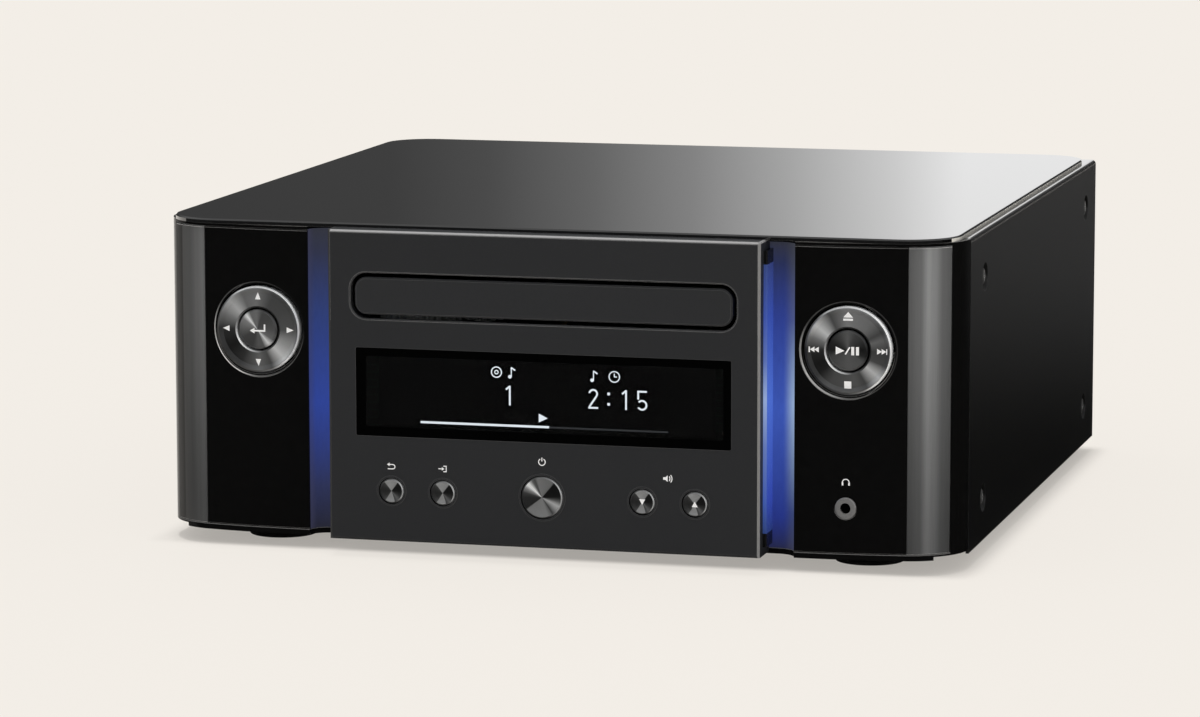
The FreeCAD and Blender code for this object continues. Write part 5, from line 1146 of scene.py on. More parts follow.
class Sign:
    """A flat sign, drawn in millimetres round its own middle and then laid on a CAD surface.

    Attributes:
        THICKNESS: how thick it is, and LIFT how far it stands off the surface.
        SLOT: the record's material slot.
        ARC_STEP: the largest turn between two points of an arc, in degrees, and ARC_LEAST its fewest steps.
        DOT_SIDES: the number of a dot's sides.
    """

    THICKNESS = 0.02
    LIFT = 0.03
    SLOT = "white_plastic"
    ARC_STEP = 12
    ARC_LEAST = 6
    DOT_SIDES = 20

    def __init__(self) -> None:
        """Starts an empty sign."""
        self.shape = bmesh.new()

    @staticmethod
    def placed(x: float, y: float, turn: float, width: float, height: float) -> Matrix:
        """Gives the placing of a form of size one, by its middle, its turn in degrees and its size."""
        turned = Matrix.Translation((x, y, 0)) @ Matrix.Rotation(math.radians(turn), 4, "Z")
        return turned @ Matrix.Diagonal((width, height, 1, 1))

    def bar(self, x: float, y: float, width: float, height: float, turn: float = 0.0) -> "Sign":
        """Adds an oblong by its middle, its size and its turn in degrees."""
        bmesh.ops.create_grid(self.shape, x_segments=1, y_segments=1, size=0.5,
                              matrix=self.placed(x, y, turn, width, height))
        return self

    def line(self, x0: float, y0: float, x1: float, y1: float, width: float) -> "Sign":
        """Adds a straight stroke between two points."""
        run, turn = math.hypot(x1 - x0, y1 - y0), math.degrees(math.atan2(y1 - y0, x1 - x0))
        return self.bar((x0 + x1) / 2, (y0 + y1) / 2, run, width, turn)

    def triangle(self, x: float, y: float, width: float, height: float, turn: float = 0.0) -> "Sign":
        """Adds a triangle that points up before its turn in degrees."""
        bmesh.ops.create_circle(self.shape, cap_ends=True, segments=3, radius=1.0,
                                matrix=self.placed(x, y, turn, width / math.sqrt(3), height / 1.5)
                                @ Matrix.Translation((0, -0.25, 0)))
        return self

    def dot(self, x: float, y: float, radius: float) -> "Sign":
        """Adds a round dot."""
        bmesh.ops.create_circle(self.shape, cap_ends=True, segments=self.DOT_SIDES, radius=radius,
                                matrix=Matrix.Translation((x, y, 0)))
        return self

    def arc(self, x: float, y: float, radius: float, width: float, start: float = 0.0,
            end: float = 360.0) -> "Sign":
        """Adds a stroke along a circle.

        Args:
            x: the circle's middle across.
            y: the circle's middle upwards.
            radius: the circle's radius.
            width: the stroke's width.
            start: the angle where it starts, in degrees.
            end: the angle where it ends.

        Returns:
            The sign.
        """
        turn = Matrix.Translation((x, y, 0)) @ Matrix.Rotation(math.radians(start), 4, "Z")
        inner, outer = (self.shape.verts.new(turn @ Vector((radius + side * width / 2, 0, 0)))
                        for side in (-1, 1))
        edge = self.shape.edges.new((inner, outer))
        sweep = end - start
        bmesh.ops.spin(self.shape, geom=[inner, outer, edge], cent=(x, y, 0), axis=(0, 0, 1),
                       angle=math.radians(sweep), steps=max(self.ARC_LEAST, round(sweep / self.ARC_STEP)),
                       use_merge=abs(sweep - 360.0) < 1e-6)
        return self

    def lay(self, name: str, node: str, spot: tuple[float, float], body: str = "case",
            finish: Finish = Part.INK.value, rear: bool = False) -> bpy.types.Object:
        """Lays the sign on a CAD node's front or back.

        Args:
            name: the piece's name.
            node: the CAD node that carries it.
            spot: x and z of its middle, in millimetres.
            body: the body that it rides on.
            finish: its finish.
            rear: True to lay it on the back.

        Returns:
            The new object.
        """
        x, z = spot
        turn = Matrix.Rotation(math.pi if rear else 0.0, 4, "Z")
        upright = Matrix.Translation((x, 0, z)) @ turn @ Matrix.Rotation(math.pi / 2, 4, "X")
        verts = self.shape.verts
        bmesh.ops.remove_doubles(self.shape, verts=verts, dist=1e-5)
        bmesh.ops.transform(self.shape, matrix=upright, verts=verts)
        surface = Surface(node)
        out = self.LIFT if rear else -self.LIFT
        for vert in verts:
            vert.co.y = surface.depth(vert.co.x, vert.co.z, rear) + out
        bmesh.ops.solidify(self.shape, geom=self.shape.faces[:], thickness=self.THICKNESS)
        bmesh.ops.recalc_face_normals(self.shape, faces=self.shape.faces)
        bmesh.ops.scale(self.shape, vec=(MM, MM, MM), verts=verts)
        return new_piece(name, self.shape, finish, body, self.SLOT)


@dataclass
class Assembly:
    """Pieces that belong together.

    Attributes:
        FINISHES: each finish with the CAD nodes that have it, parted by spaces.
    """

    FINISHES: ClassVar[dict[Part, str]] = {}

    def build(self) -> None:
        """Dresses the CAD nodes, then adds what the CAD model leaves out."""
        for part, nodes in self.FINISHES.items():
            part.value.dress(*nodes.split())
        self.add()

    def add(self) -> None:
        """Adds pieces of its own; a plain assembly has none."""


@dataclass
class Casework(Assembly):
    """Chassis, cover, top plate, feet and rear panel."""

    FINISHES = {Part.ZINC: "bottom_chassis", Part.COVER: "top_cover", Part.PLATE: "top_plate",
                Part.REAR: "rear_panel", Part.FOOT: "feet"}


@dataclass
class FrontPanel(Assembly):
    """Wings, pillars, flutes, lit guides, centre panel, door, window and the jack."""

    FINISHES = {Part.GLOSS: "front_moulding", Part.PANEL: "centre_panel", Part.DOOR: "tray_door",
                Part.PILLAR: "corner_pillars", Part.FLUTE: "flutes", Part.GUIDE: "light_guides",
                Part.WINDOW: "display_window", Part.DISPLAY: "display_module", Part.PHONES: "headphone_jack"}
    icon_height: float = 31.6
    power_icon_height: float = 35.4
    jack_icon_height: float = 31.4
    stroke: float = 0.32

    def add(self) -> None:
        """Dresses the wings and prints the icons beside the small buttons and over the jack."""
        for side in ("left", "right"):
            well = centre_of(f"nav_ring_{side}")
            gloss = {**vars(Part.GLOSS.value), "name": f"wing_gloss_{side}"}
            WingSkin(**gloss, centre=(well.x, well.z)).dress(f"wing_{side}")
        back, source, down, up, jack = (
            spot_of(node)[0] for node in ("back_button", "input_button", "volume_down_button",
                                          "volume_up_button", "headphone_jack"))
        self.back_icon().lay("icon_back", "centre_panel", (back, self.icon_height))
        self.source_icon().lay("icon_source", "centre_panel", (source, self.icon_height))
        self.power_icon().lay("icon_power", "centre_panel", (0.0, self.power_icon_height))
        self.level_icon().lay("icon_level", "centre_panel", ((down + up) / 2, self.icon_height))
        self.phones_icon().lay("icon_phones", "wing_right", (jack, self.jack_icon_height))

    def back_icon(self) -> Sign:
        """Draws an arrow that turns back on itself."""
        return (Sign().arc(0.5, 0.0, 0.75, self.stroke, -90, 90).line(0.5, 0.75, -0.8, 0.75, self.stroke)
                .line(0.5, -0.75, -1.3, -0.75, self.stroke).triangle(-1.1, 0.75, 1.2, 0.9, 90))

    def source_icon(self) -> Sign:
        """Draws an arrow into an open frame."""
        return (Sign().bar(1.25, 0.0, self.stroke, 2.2).bar(0.75, 1.1 - self.stroke / 2, 1.0, self.stroke)
                .bar(0.75, -1.1 + self.stroke / 2, 1.0, self.stroke).bar(-0.85, 0.0, 1.3, self.stroke)
                .triangle(0.15, 0.0, 1.2, 0.9, -90))

    def power_icon(self) -> Sign:
        """Draws the usual power sign: a broken ring and an upright stroke."""
        return Sign().arc(0.0, 0.0, 1.15, self.stroke, 120, 420).bar(0.0, 0.85, self.stroke, 1.3)

    def level_icon(self) -> Sign:
        """Draws a loudspeaker with two waves."""
        return (Sign().bar(-1.5, 0.0, 0.7, 0.9).triangle(-0.95, 0.0, 2.2, 1.3, 90)
                .arc(-0.6, 0.0, 1.1, self.stroke, -42, 42).arc(-0.6, 0.0, 1.8, self.stroke, -42, 42))

    def phones_icon(self) -> Sign:
        """Draws a pair of headphones."""
        return (Sign().arc(0.0, -0.1, 1.15, self.stroke, 0, 180).bar(-1.1, -0.55, 0.55, 1.0)
                .bar(1.1, -0.55, 0.55, 1.0))


@dataclass
class DirectionKeys(Assembly):
    """The two tilting rings with their carriers and centre keys.

    Attributes:
        radius: how far the rings' signs lie from the middle, in millimetres.
        bore_end: the radius where the rings' bore ends, in metres.
        rim_start: the radius where their rim starts.
        RINGS: display greys of the painted reflections round each ring, from the left through below, right
            and above.
        KEYS: the same for each centre key, and BORE and RIM the painted highlights on both rings' bore and
            rim.
    """

    FINISHES = {Part.MOULDED: "nav_gimbal_left nav_gimbal_right"}
    RINGS: ClassVar[dict[str, Wedges]] = {
        "left": ((0, 44), (0.09, 24), (0.17, 46), (0.26, 96), (0.31, 70), (0.37, 190), (0.42, 150), (0.5, 78),
                 (0.6, 66), (0.68, 66), (0.76, 108), (0.82, 100), (0.88, 165), (0.94, 110), (1, 44)),
        "right": ((0, 40), (0.07, 24), (0.11, 30), (0.17, 72), (0.29, 82), (0.33, 66), (0.39, 180),
                  (0.44, 70), (0.5, 60), (0.55, 96), (0.58, 62), (0.64, 100), (0.76, 116), (0.83, 70),
                  (0.9, 190), (0.95, 110), (1, 40)),
    }
    KEYS: ClassVar[dict[str, Wedges]] = {
        "left": ((0, 90), (0.08, 62), (0.2, 60), (0.26, 84), (0.31, 80), (0.36, 200), (0.41, 100), (0.5, 78),
                 (0.62, 66), (0.7, 66), (0.76, 104), (0.82, 96), (0.86, 215), (0.9, 120), (1, 90)),
        "right": ((0, 26), (0.06, 66), (0.25, 84), (0.4, 78), (0.45, 36), (0.52, 20), (0.6, 46), (0.68, 60),
                  (0.75, 84), (0.83, 60), (0.92, 34), (1, 26)),
    }
    BORE: ClassVar[Wedges] = ((0, 170), (0.1, 235), (0.2, 190), (0.28, 80), (0.4, 44), (0.6, 34), (0.8, 44),
                              (0.93, 110), (1, 170))
    RIM: ClassVar[Wedges] = ((0, 40), (0.1, 30), (0.25, 70), (0.31, 120), (0.36, 240), (0.5, 225), (0.6, 240),
                             (0.75, 205), (0.83, 190), (0.88, 110), (1, 40))
    radius: float = 11.5
    bore_end: float = 8.0 * MM
    rim_start: float = 14.25 * MM

    def add(self) -> None:
        """Dresses the rings and keys and prints their signs."""
        for side, key in (("left", "enter_button"), ("right", "play_button")):
            ring = f"nav_ring_{side}"
            middle = centre_of(ring)
            axis = (middle.x, middle.z)
            # painted reflections on the faces, painted highlights on the bore and rim
            bands = ((0.0, self.BORE), (self.bore_end, self.RINGS[side]), (self.rim_start, self.RIM))
            TurnedMetal(f"turned_ring_{side}", axis, bands).dress(ring)
            TurnedMetal(f"turned_key_{side}", axis, ((0.0, self.KEYS[side]),)).dress(key)
        self.print_left()
        self.print_right()

    def place(self, sign: Sign, name: str, node: str, body: str, across: float = 0.0,
              up: float = 0.0) -> None:
        """Prints a sign on a key, by its way from the key's middle in millimetres."""
        x, z = spot_of(node)
        sign.lay(name, node, (x + across, z + up), body)

    def print_left(self) -> None:
        """Prints four arrows and, in place of a word, a return arrow."""
        far = self.radius
        for name, across, up, turn in (("up", 0, far, 0), ("left", -far, 0, 90), ("down", 0, -far, 180),
                                       ("right", far, 0, -90)):
            arrow = Sign().triangle(0, 0, 1.95, 2.45, turn)
            self.place(arrow, f"arrow_{name}", "nav_ring_left", "ring_left", across, up)
        enter = (Sign().triangle(-1.9, -0.45, 2.0, 1.7, 90).bar(0.6, -0.45, 3.4, 0.55)
                 .bar(2.55, 0.55, 0.55, 2.55))
        self.place(enter, "sign_enter", "enter_button", "enter_button")

    def print_right(self) -> None:
        """Prints eject, stop and the two skips on the ring, and play and pause on the key."""
        ring, body, far = "nav_ring_right", "ring_right", self.radius
        eject = Sign().triangle(0, 0.5, 3.3, 1.9).bar(0, -1.15, 3.3, 0.65)
        self.place(eject, "sign_eject", ring, body, 0, far)
        self.place(Sign().bar(0, 0, 2.4, 2.4), "sign_stop", ring, body, 0, -far)
        for name, way, turn in (("back", -1, 90), ("on", 1, -90)):
            skip = (Sign().triangle(-way * 0.85, 0, 1.9, 1.6, turn).triangle(way * 0.65, 0, 1.9, 1.6, turn)
                    .bar(way * 1.6, 0, 0.4, 1.9))
            self.place(skip, f"sign_skip_{name}", ring, body, way * far, 0)
        play = (Sign().triangle(-2.5, 0, 2.7, 3.0, -90).line(-0.75, -1.2, 0.75, 1.25, 0.5)
                .bar(1.75, 0, 1.0, 2.8).bar(3.35, 0, 1.0, 2.8))
        self.place(play, "sign_play", "play_button", "play_button")


@dataclass
class SmallButtons(Assembly):
    """The row of round buttons below the display.

    Attributes:
        flange: how far the hidden flange stands out round a button, in metres.
        rim: the width of the bevel round its face.
        PLAIN: display greys of the painted reflections round a small button, from the left through below,
            right and above.
        POWER: the same for the power button, and RIM the painted highlight on the bevel of each.
    """

    PLAIN: ClassVar[Wedges] = ((0, 36), (0.1, 44), (0.155, 60), (0.165, 128), (0.3, 134), (0.31, 50),
                               (0.36, 92), (0.42, 50), (0.5, 24), (0.64, 20), (0.65, 128), (0.85, 142),
                               (0.86, 60), (0.92, 44), (1, 36))
    POWER: ClassVar[Wedges] = ((0, 40), (0.1, 32), (0.112, 114), (0.3, 120), (0.335, 96), (0.35, 50),
                               (0.375, 110), (0.43, 165), (0.47, 90), (0.5, 40), (0.52, 20), (0.635, 18),
                               (0.645, 102), (0.79, 114), (0.81, 66), (0.835, 90), (0.88, 235), (0.92, 130),
                               (0.96, 60), (1, 40))
    RIM: ClassVar[Wedges] = ((0, 46), (0.3, 56), (0.36, 110), (0.42, 170), (0.6, 170), (0.68, 120),
                             (0.76, 84), (1, 46))
    flange: float = 1.1 * MM
    rim: float = 0.4 * MM

    def add(self) -> None:
        """Dresses the buttons and prints the arrows of the volume buttons."""
        for name in ("back_button", "input_button", "volume_down_button", "volume_up_button", "power_button"):
            middle = centre_of(name)
            low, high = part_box(name)
            face = (high[0] - low[0]) / 2 - self.flange - self.rim
            # painted reflections round each button and a painted highlight on its bevel
            wedges = self.POWER if name == "power_button" else self.PLAIN
            TurnedMetal(f"turned_{name}", (middle.x, middle.z), ((0.0, wedges), (face, self.RIM))).dress(name)
        for name, turn in (("volume_down_button", 180), ("volume_up_button", 0)):
            Sign().triangle(0, 0, 2.1, 1.9, turn).lay(f"arrow_{name}", name, spot_of(name), name)


@dataclass
class Readout(Assembly):
    """What the display shows: a track number, its time, a play sign and a bar.

    Attributes:
        stroke: the width of a figure's strokes, in millimetres.
        digit: the height of a figure.
        figures: the height where the figures' middles lie.
    """

    stroke: float = 0.62
    digit: float = 6.7
    figures: float = 57.1

    def add(self) -> None:
        """Lays the lit figures on the display's face, each at its x and z in millimetres."""
        colon = Sign().bar(0, 1.75, 0.9, 0.9).bar(0, -1.75, 0.9, 0.9)
        for name, sign, spot in (("figure_track", self.one(), (-12.2, self.figures)),
                                 ("figure_minutes", self.two(), (17.1, self.figures)),
                                 ("figure_colon", colon, (22.45, self.figures + 0.1)),
                                 ("figure_tens", self.one(), (28.2, self.figures)),
                                 ("figure_seconds", self.five(), (34.0, self.figures)),
                                 ("sign_playing", Sign().triangle(0, 0, 3.0, 3.1, -90), (-0.3, 49.85)),
                                 ("bar_played", Sign().bar(0, 0, 45.1, 0.75), (-20.8, 46.85)),
                                 ("bar_left", Sign().bar(0, 0, 41.0, 0.6), (22.5, 46.8)),
                                 ("icon_disc", self.disc(), (-16.6, 64.9)),
                                 ("icon_note", self.note(), (-11.2, 64.9)),
                                 ("icon_track_note", self.note(), (17.4, 64.8)),
                                 ("icon_clock", self.clock(), (24.4, 64.8))):
            light = Part.DIM_READOUT if name == "bar_left" else Part.READOUT
            sign.lay(name, "display_module", spot, finish=light.value)

    def one(self) -> Sign:
        """Draws the figure one."""
        half = self.digit / 2
        return (Sign().bar(0.25, 0, self.stroke, self.digit)
                .line(0.25, half - 0.2, -1.1, half - 1.35, self.stroke))

    def two(self) -> Sign:
        """Draws the figure two."""
        half, bend = self.digit / 2, 1.35
        return (Sign().arc(0, half - bend - 0.31, bend, self.stroke, -25, 170)
                .line(1.2, half - bend - 0.95, -1.35, -half + 0.6, self.stroke)
                .bar(0, -half + 0.31, 3.4, self.stroke))

    def five(self) -> Sign:
        """Draws the figure five."""
        half, bend = self.digit / 2, 1.5
        return (Sign().bar(0.15, half - 0.31, 3.0, self.stroke).bar(-1.35, half - 1.5, self.stroke, 3.0)
                .arc(0, -half + bend + 0.31, bend, self.stroke, -150, 140))

    def disc(self) -> Sign:
        """Draws a disc seen flat, in place of a word."""
        return Sign().arc(0, 0, 1.75, 0.4).arc(0, 0, 0.6, 0.35)

    def note(self) -> Sign:
        """Draws a note, in place of a word."""
        return Sign().dot(-0.7, -1.4, 0.62).bar(-0.2, 0.2, 0.36, 3.2).line(-0.2, 1.7, 1.2, 0.8, 0.5)

    def clock(self) -> Sign:
        """Draws a clock face, in place of a word."""
        return Sign().arc(0, 0, 1.8, 0.38).bar(0, 0.55, 0.34, 1.2).bar(0.45, 0, 1.0, 0.34)


@dataclass
class Loader(Assembly):
    """The tray, its drive, the tilting frame with the laser sled, and the clamp.

    Attributes:
        belt: the belt's thickness, in metres.
        small_pulley: the radius that the belt's middle has round the motor's pulley.
        steps: the number of straight runs round each pulley.
    """

    FINISHES = {Part.TRAY: "disc_tray", Part.MOULDED: "loader_frame traverse_frame turntable pickup_sled",
                Part.NATURAL: "drive_gear pulley_gear cam_slider clamper",
                Part.ZINC: "loader_brackets clamp_bridge",
                Part.STEEL: "loading_motor spindle_motor sled_motor guide_rod feed_screw",
                Part.BRASS: "motor_pulley"}
    belt: float = 0.8 * MM
    small_pulley: float = 3.25 * MM
    steps: int = 28

    def add(self) -> None:
        """Sweeps the round belt over its two pulleys in place of the CAD loop."""
        low, high = (Vector(corner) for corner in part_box("drive_belt"))
        half = self.belt / 2
        big = (high.y - low.y) / 2 - half
        first = Vector((low.x + big + half, (low.y + high.y) / 2, (low.z + high.z) / 2))
        motor = centre_of("motor_pulley")
        route = bpy.data.curves.new("belt_route", "CURVE")
        route.dimensions = "3D"
        route.bevel_depth = half
        route.bevel_resolution = 3
        line = route.splines.new("POLY")
        points = list(self.loop(first, big, Vector((motor.x, motor.y, first.z)), self.small_pulley))
        line.points.add(len(points) - 1)
        for spot, point in zip(line.points, points):
            spot.co = (*point, 1.0)
        line.use_cyclic_u = True
        carrier = put("belt_route", route)
        shape = bmesh.new()
        shape.from_mesh(bpy.data.meshes.new_from_object(carrier))
        bpy.data.objects.remove(carrier)
        bmesh.ops.remove_doubles(shape, verts=shape.verts, dist=1e-7)
        bmesh.ops.recalc_face_normals(shape, faces=shape.faces)
        new_piece("belt_loop", shape, Part.RUBBER.value, "case", "belt_rubber", stands_for="drive_belt",
                  smooth=60.0)

    def loop(self, first: Vector, big: float, second: Vector, small: float) -> Iterable[Vector]:
        """Gives the points of the open belt round two pulleys.

        Args:
            first: the middle of the large pulley.
            big: its radius.
            second: the middle of the small pulley.
            small: its radius.

        Returns:
            The points in order round the loop.
        """
        way = second - first
        lean = math.acos((big - small) / way.length)
        heading = math.atan2(way.y, way.x)
        for middle, radius, start, sweep in ((first, big, heading + lean, math.tau - 2 * lean),
                                             (second, small, heading - lean, 2 * lean)):
            for step in range(self.steps + 1):
                angle = start + sweep * step / self.steps
                yield middle + Vector((math.cos(angle), math.sin(angle), 0.0)) * radius


@dataclass
class Electronics(Assembly):
    """The boards and the heat sink."""

    FINISHES = {Part.MAIN_BOARD: "main_board", Part.POWER_BOARD: "power_board",
                Part.FRONT_BOARD: "front_boards", Part.ALUMINIUM: "heat_sink"}


@dataclass
class RearSockets(Assembly):
    """Speaker posts, audio, antenna, network and mains sockets.

    Attributes:
        thread_radius: the radius at the foot of the antenna socket's thread, in metres.
        thread_height: how far the thread stands out.
        thread_pitch: the way of one turn, and steps its number of faces.
        thread_span: how far the thread's start and end lie before the socket's end.
        drop: how far the socket's axis lies under the node's top.
        sink: how deep the thread's foot lies in the socket.
        left_marks: x of the marks beside the left caps, in millimetres, and right_marks of the others.
    """

    FINISHES = {Part.MOULDED: "terminal_block ac_inlet", Part.BRASS: "terminal_posts",
                Part.SOCKETS: "rca_jacks", Part.ANTENNA: "antenna_jack", Part.NICKEL: "lan_usb_jack",
                Part.RED: "terminal_cap_left_plus terminal_cap_right_plus",
                Part.BLACK_CAP: "terminal_cap_left_minus terminal_cap_right_minus"}
    thread_radius: float = 4.7 * MM
    thread_height: float = 0.3 * MM
    thread_pitch: float = 0.8 * MM
    thread_span: tuple[float, float] = (7.2 * MM, 0.6 * MM)
    drop: float = 7.0 * MM
    sink: float = 0.02 * MM
    steps: int = 28
    left_marks: float = -80.6
    right_marks: float = -127.6

    def add(self) -> None:
        """Winds the antenna socket's thread and prints the marks."""
        self.wind_thread()
        self.print_marks()

    def wind_thread(self) -> None:
        """Winds the thread's ridge on the antenna socket."""
        low, high = (Vector(corner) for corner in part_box("antenna_jack"))
        start, end = (high.y - way for way in self.thread_span)
        turns = (end - start) / self.thread_pitch
        shape = bmesh.new()
        foot, crest = self.thread_radius - self.sink, self.thread_radius + self.thread_height
        ridge = [shape.verts.new((radius, 0.0, along * self.thread_pitch))
                 for radius, along in ((foot, -0.35), (crest, 0.0), (foot, 0.35))]
        edges = [shape.edges.new((ridge[k], ridge[(k + 1) % 3])) for k in range(3)]
        face = shape.faces.new(ridge)
        steps = round(turns * self.steps)
        bmesh.ops.spin(shape, geom=ridge + edges + [face], cent=(0, 0, 0), axis=(0, 0, 1),
                       dvec=(0, 0, (end - start) / steps), angle=math.tau * turns, steps=steps)
        bmesh.ops.remove_doubles(shape, verts=shape.verts, dist=1e-8)
        bmesh.ops.recalc_face_normals(shape, faces=shape.faces)
        where = Matrix.Translation(((low.x + high.x) / 2, start, high.z - self.drop))
        bmesh.ops.transform(shape, matrix=where @ Matrix.Rotation(-math.pi / 2, 4, "X"), verts=shape.verts)
        new_piece("antenna_thread", shape, Part.NICKEL.value, "case", "plain_steel")

    def print_marks(self) -> None:
        """Prints plus and minus beside the speaker posts."""
        for cap in ("left_plus", "left_minus", "right_plus", "right_minus"):
            mark = Sign().bar(0, 0, 1.8, 0.4)
            if cap.endswith("plus"):
                mark.bar(0, 0.55, 0.4, 0.7).bar(0, -0.55, 0.4, 0.7)
            x = self.left_marks if "left" in cap else self.right_marks
            mark.lay(f"mark_{cap}", "rear_panel", (x, spot_of(f"terminal_cap_{cap}")[1]), rear=True)


@dataclass
class Fasteners(Assembly):
    """Every visible screw, with a domed head, a cross recess and a shank; all sizes in millimetres.

    Attributes:
        point_length: the length of the shank's point.
        recess_width: the width of the cross's arms at the top, recess_span their length over all, and
            recess_height twice the cross's depth.
        tolerance: how far a box's side may be off the head's width and still be it.
        underside: the height under which an upright screw looks down.
    """

    head_radius: float = 3.0
    head_height: float = 1.5
    shank_radius: float = 1.5
    point_length: float = 0.8
    recess_width: float = 0.85
    recess_span: float = 3.5
    recess_height: float = 2.2
    tolerance: float = 0.2
    underside: float = 10.0

    def add(self) -> None:
        """Puts a detailed screw in each place where the CAD node has a plain one."""
        shape = bmesh.new()
        boxes = list(self.places())
        for low, high in boxes:
            size = high - low
            middle = (low + high) / 2
            axis = self.long_axis(size, middle)
            one = self.screw(size[axis] / MM)
            one.transform(self.placing(axis, middle, low, high) @ Matrix.Scale(MM, 4))
            shape.from_mesh(one)
            bpy.data.meshes.remove(one)
        LOG.info("%d screws", len(boxes))
        new_piece("cross_screws", shape, Part.SCREW.value, "case", "screw_black", stands_for="screws")

    def places(self) -> Iterable[tuple[Vector, Vector]]:
        """Finds the plain screws in the CAD node.

        Returns:
            The lowest and the highest corner of each.
        """
        shape = bmesh.new()
        shape.from_mesh(CAD["nodes"]["screws"].data)
        bmesh.ops.remove_doubles(shape, verts=shape.verts, dist=1e-6)
        left = set(shape.verts)
        while left:
            start = min(left, key=lambda vert: vert.index)
            island, edge = {start}, [start]
            while edge:
                vert = edge.pop()
                for link in vert.link_edges:
                    other = link.other_vert(vert)
                    if other not in island:
                        island.add(other)
                        edge.append(other)
            left -= island
            spots = [vert.co for vert in island]
            yield tuple(Vector([pick(spot[k] for spot in spots) for k in range(3)]) for pick in (min, max))
        shape.free()

    def long_axis(self, size: Vector, middle: Vector) -> int:
        """Finds a screw's axis: the side of its box that isn't the head's width.

        Args:
            size: the box's size, in metres.
            middle: its middle, which decides for a box with three equal sides.

        Returns:
            The number of the axis.
        """
        wide = 2 * self.head_radius * MM
        odd = [k for k in range(3) if abs(size[k] - wide) > self.tolerance * MM]
        return odd[0] if odd else max(range(3), key=lambda k: abs(middle[k]))

    def placing(self, axis: int, middle: Vector, low: Vector, high: Vector) -> Matrix:
        """Turns and moves a screw whose head's top lies at the origin and looks along Z.

        Args:
            axis: the number of the screw's axis.
            middle: the middle of its box, in metres.
            low: the box's lowest corner.
            high: its highest corner.

        Returns:
            The placing.
        """
        if axis == Axis.X.value:
            side = 1.0 if middle.x > 0 else -1.0
            turn = Matrix.Rotation(side * math.pi / 2, 4, "Y")
            top = Vector((high.x if side > 0 else low.x, middle.y, middle.z))
        elif axis == Axis.Y.value:
            turn = Matrix.Rotation(-math.pi / 2, 4, "X")
            top = Vector((middle.x, high.y, middle.z))
        else:
            up = middle.z > self.underside * MM
            turn = Matrix.Identity(4) if up else Matrix.Rotation(math.pi, 4, "X")
            top = Vector((middle.x, middle.y, high.z if up else low.z))
        return Matrix.Translation(top) @ turn

    def screw(self, length: float) -> bpy.types.Mesh:
        """Turns one screw and presses the cross into its head.

        Args:
            length: its length over all.

        Returns:
            The screw's mesh in millimetres, its head's top at the origin.
        """
        body, tools = bmesh.new(), bmesh.new()
        head, thick, shank = self.head_radius, self.head_height, self.shank_radius
        profile = ((0.0, 0.0), (head * 0.55, -0.04), (head * 0.82, -0.22), (head, -0.62), (head, -thick),
                   (shank, -thick), (shank, -length + self.point_length), (0.5, -length), (0.0, -length))
        chain = [body.verts.new((radius, 0.0, height)) for radius, height in profile]
        edges = [body.edges.new(pair) for pair in zip(chain, chain[1:])]
        bmesh.ops.spin(body, geom=chain + edges, cent=(0, 0, 0), axis=(0, 0, 1), angle=math.tau, steps=48,
                       use_merge=True)
        bmesh.ops.remove_doubles(body, verts=body.verts, dist=1e-5)
        bmesh.ops.recalc_face_normals(body, faces=body.faces)
        for turn in (0.0, math.pi / 2):
            made = bmesh.ops.create_cube(tools, size=1.0)["verts"]
            bmesh.ops.scale(tools, vec=(self.recess_span, self.recess_width, self.recess_height), verts=made)
            bmesh.ops.scale(tools, vec=(0.35, 0.6, 1.0), verts=[vert for vert in made if vert.co.z < 0])
            bmesh.ops.rotate(tools, matrix=Matrix.Rotation(turn, 3, "Z"), verts=made)
        return self.pressed(body, tools)

    def pressed(self, body: bmesh.types.BMesh, tools: bmesh.types.BMesh) -> bpy.types.Mesh:
        """Takes the tools' shape out of a body.

        Args:
            body: the body's shape, which is freed.
            tools: the tools' shape, which is freed.

        Returns:
            The pressed body.
        """
        pair = [put(label, mesh_of(label, shape))
                for label, shape in (("screw_body", body), ("screw_tools", tools))]
        press = pair[0].modifiers.new("recess", "BOOLEAN")
        press.object = pair[1]
        press.operation = "DIFFERENCE"
        press.solver = "EXACT"
        press.use_self = True
        state = bpy.context.evaluated_depsgraph_get()
        result = bpy.data.meshes.new_from_object(pair[0].evaluated_get(state))
        for piece in pair:
            bpy.data.objects.remove(piece)
        return result


@dataclass(frozen=True)
class Card:
    """A dark card on the floor that only reflections see.

    Attributes:
        name: its name.
        middle: x and y of its middle, in metres.
        half: half of its size along each.
        near: its level in front, and far its level at the back.
    """

    name: str
    middle: tuple[float, float]
    half: tuple[float, float]
    near: float
    far: float


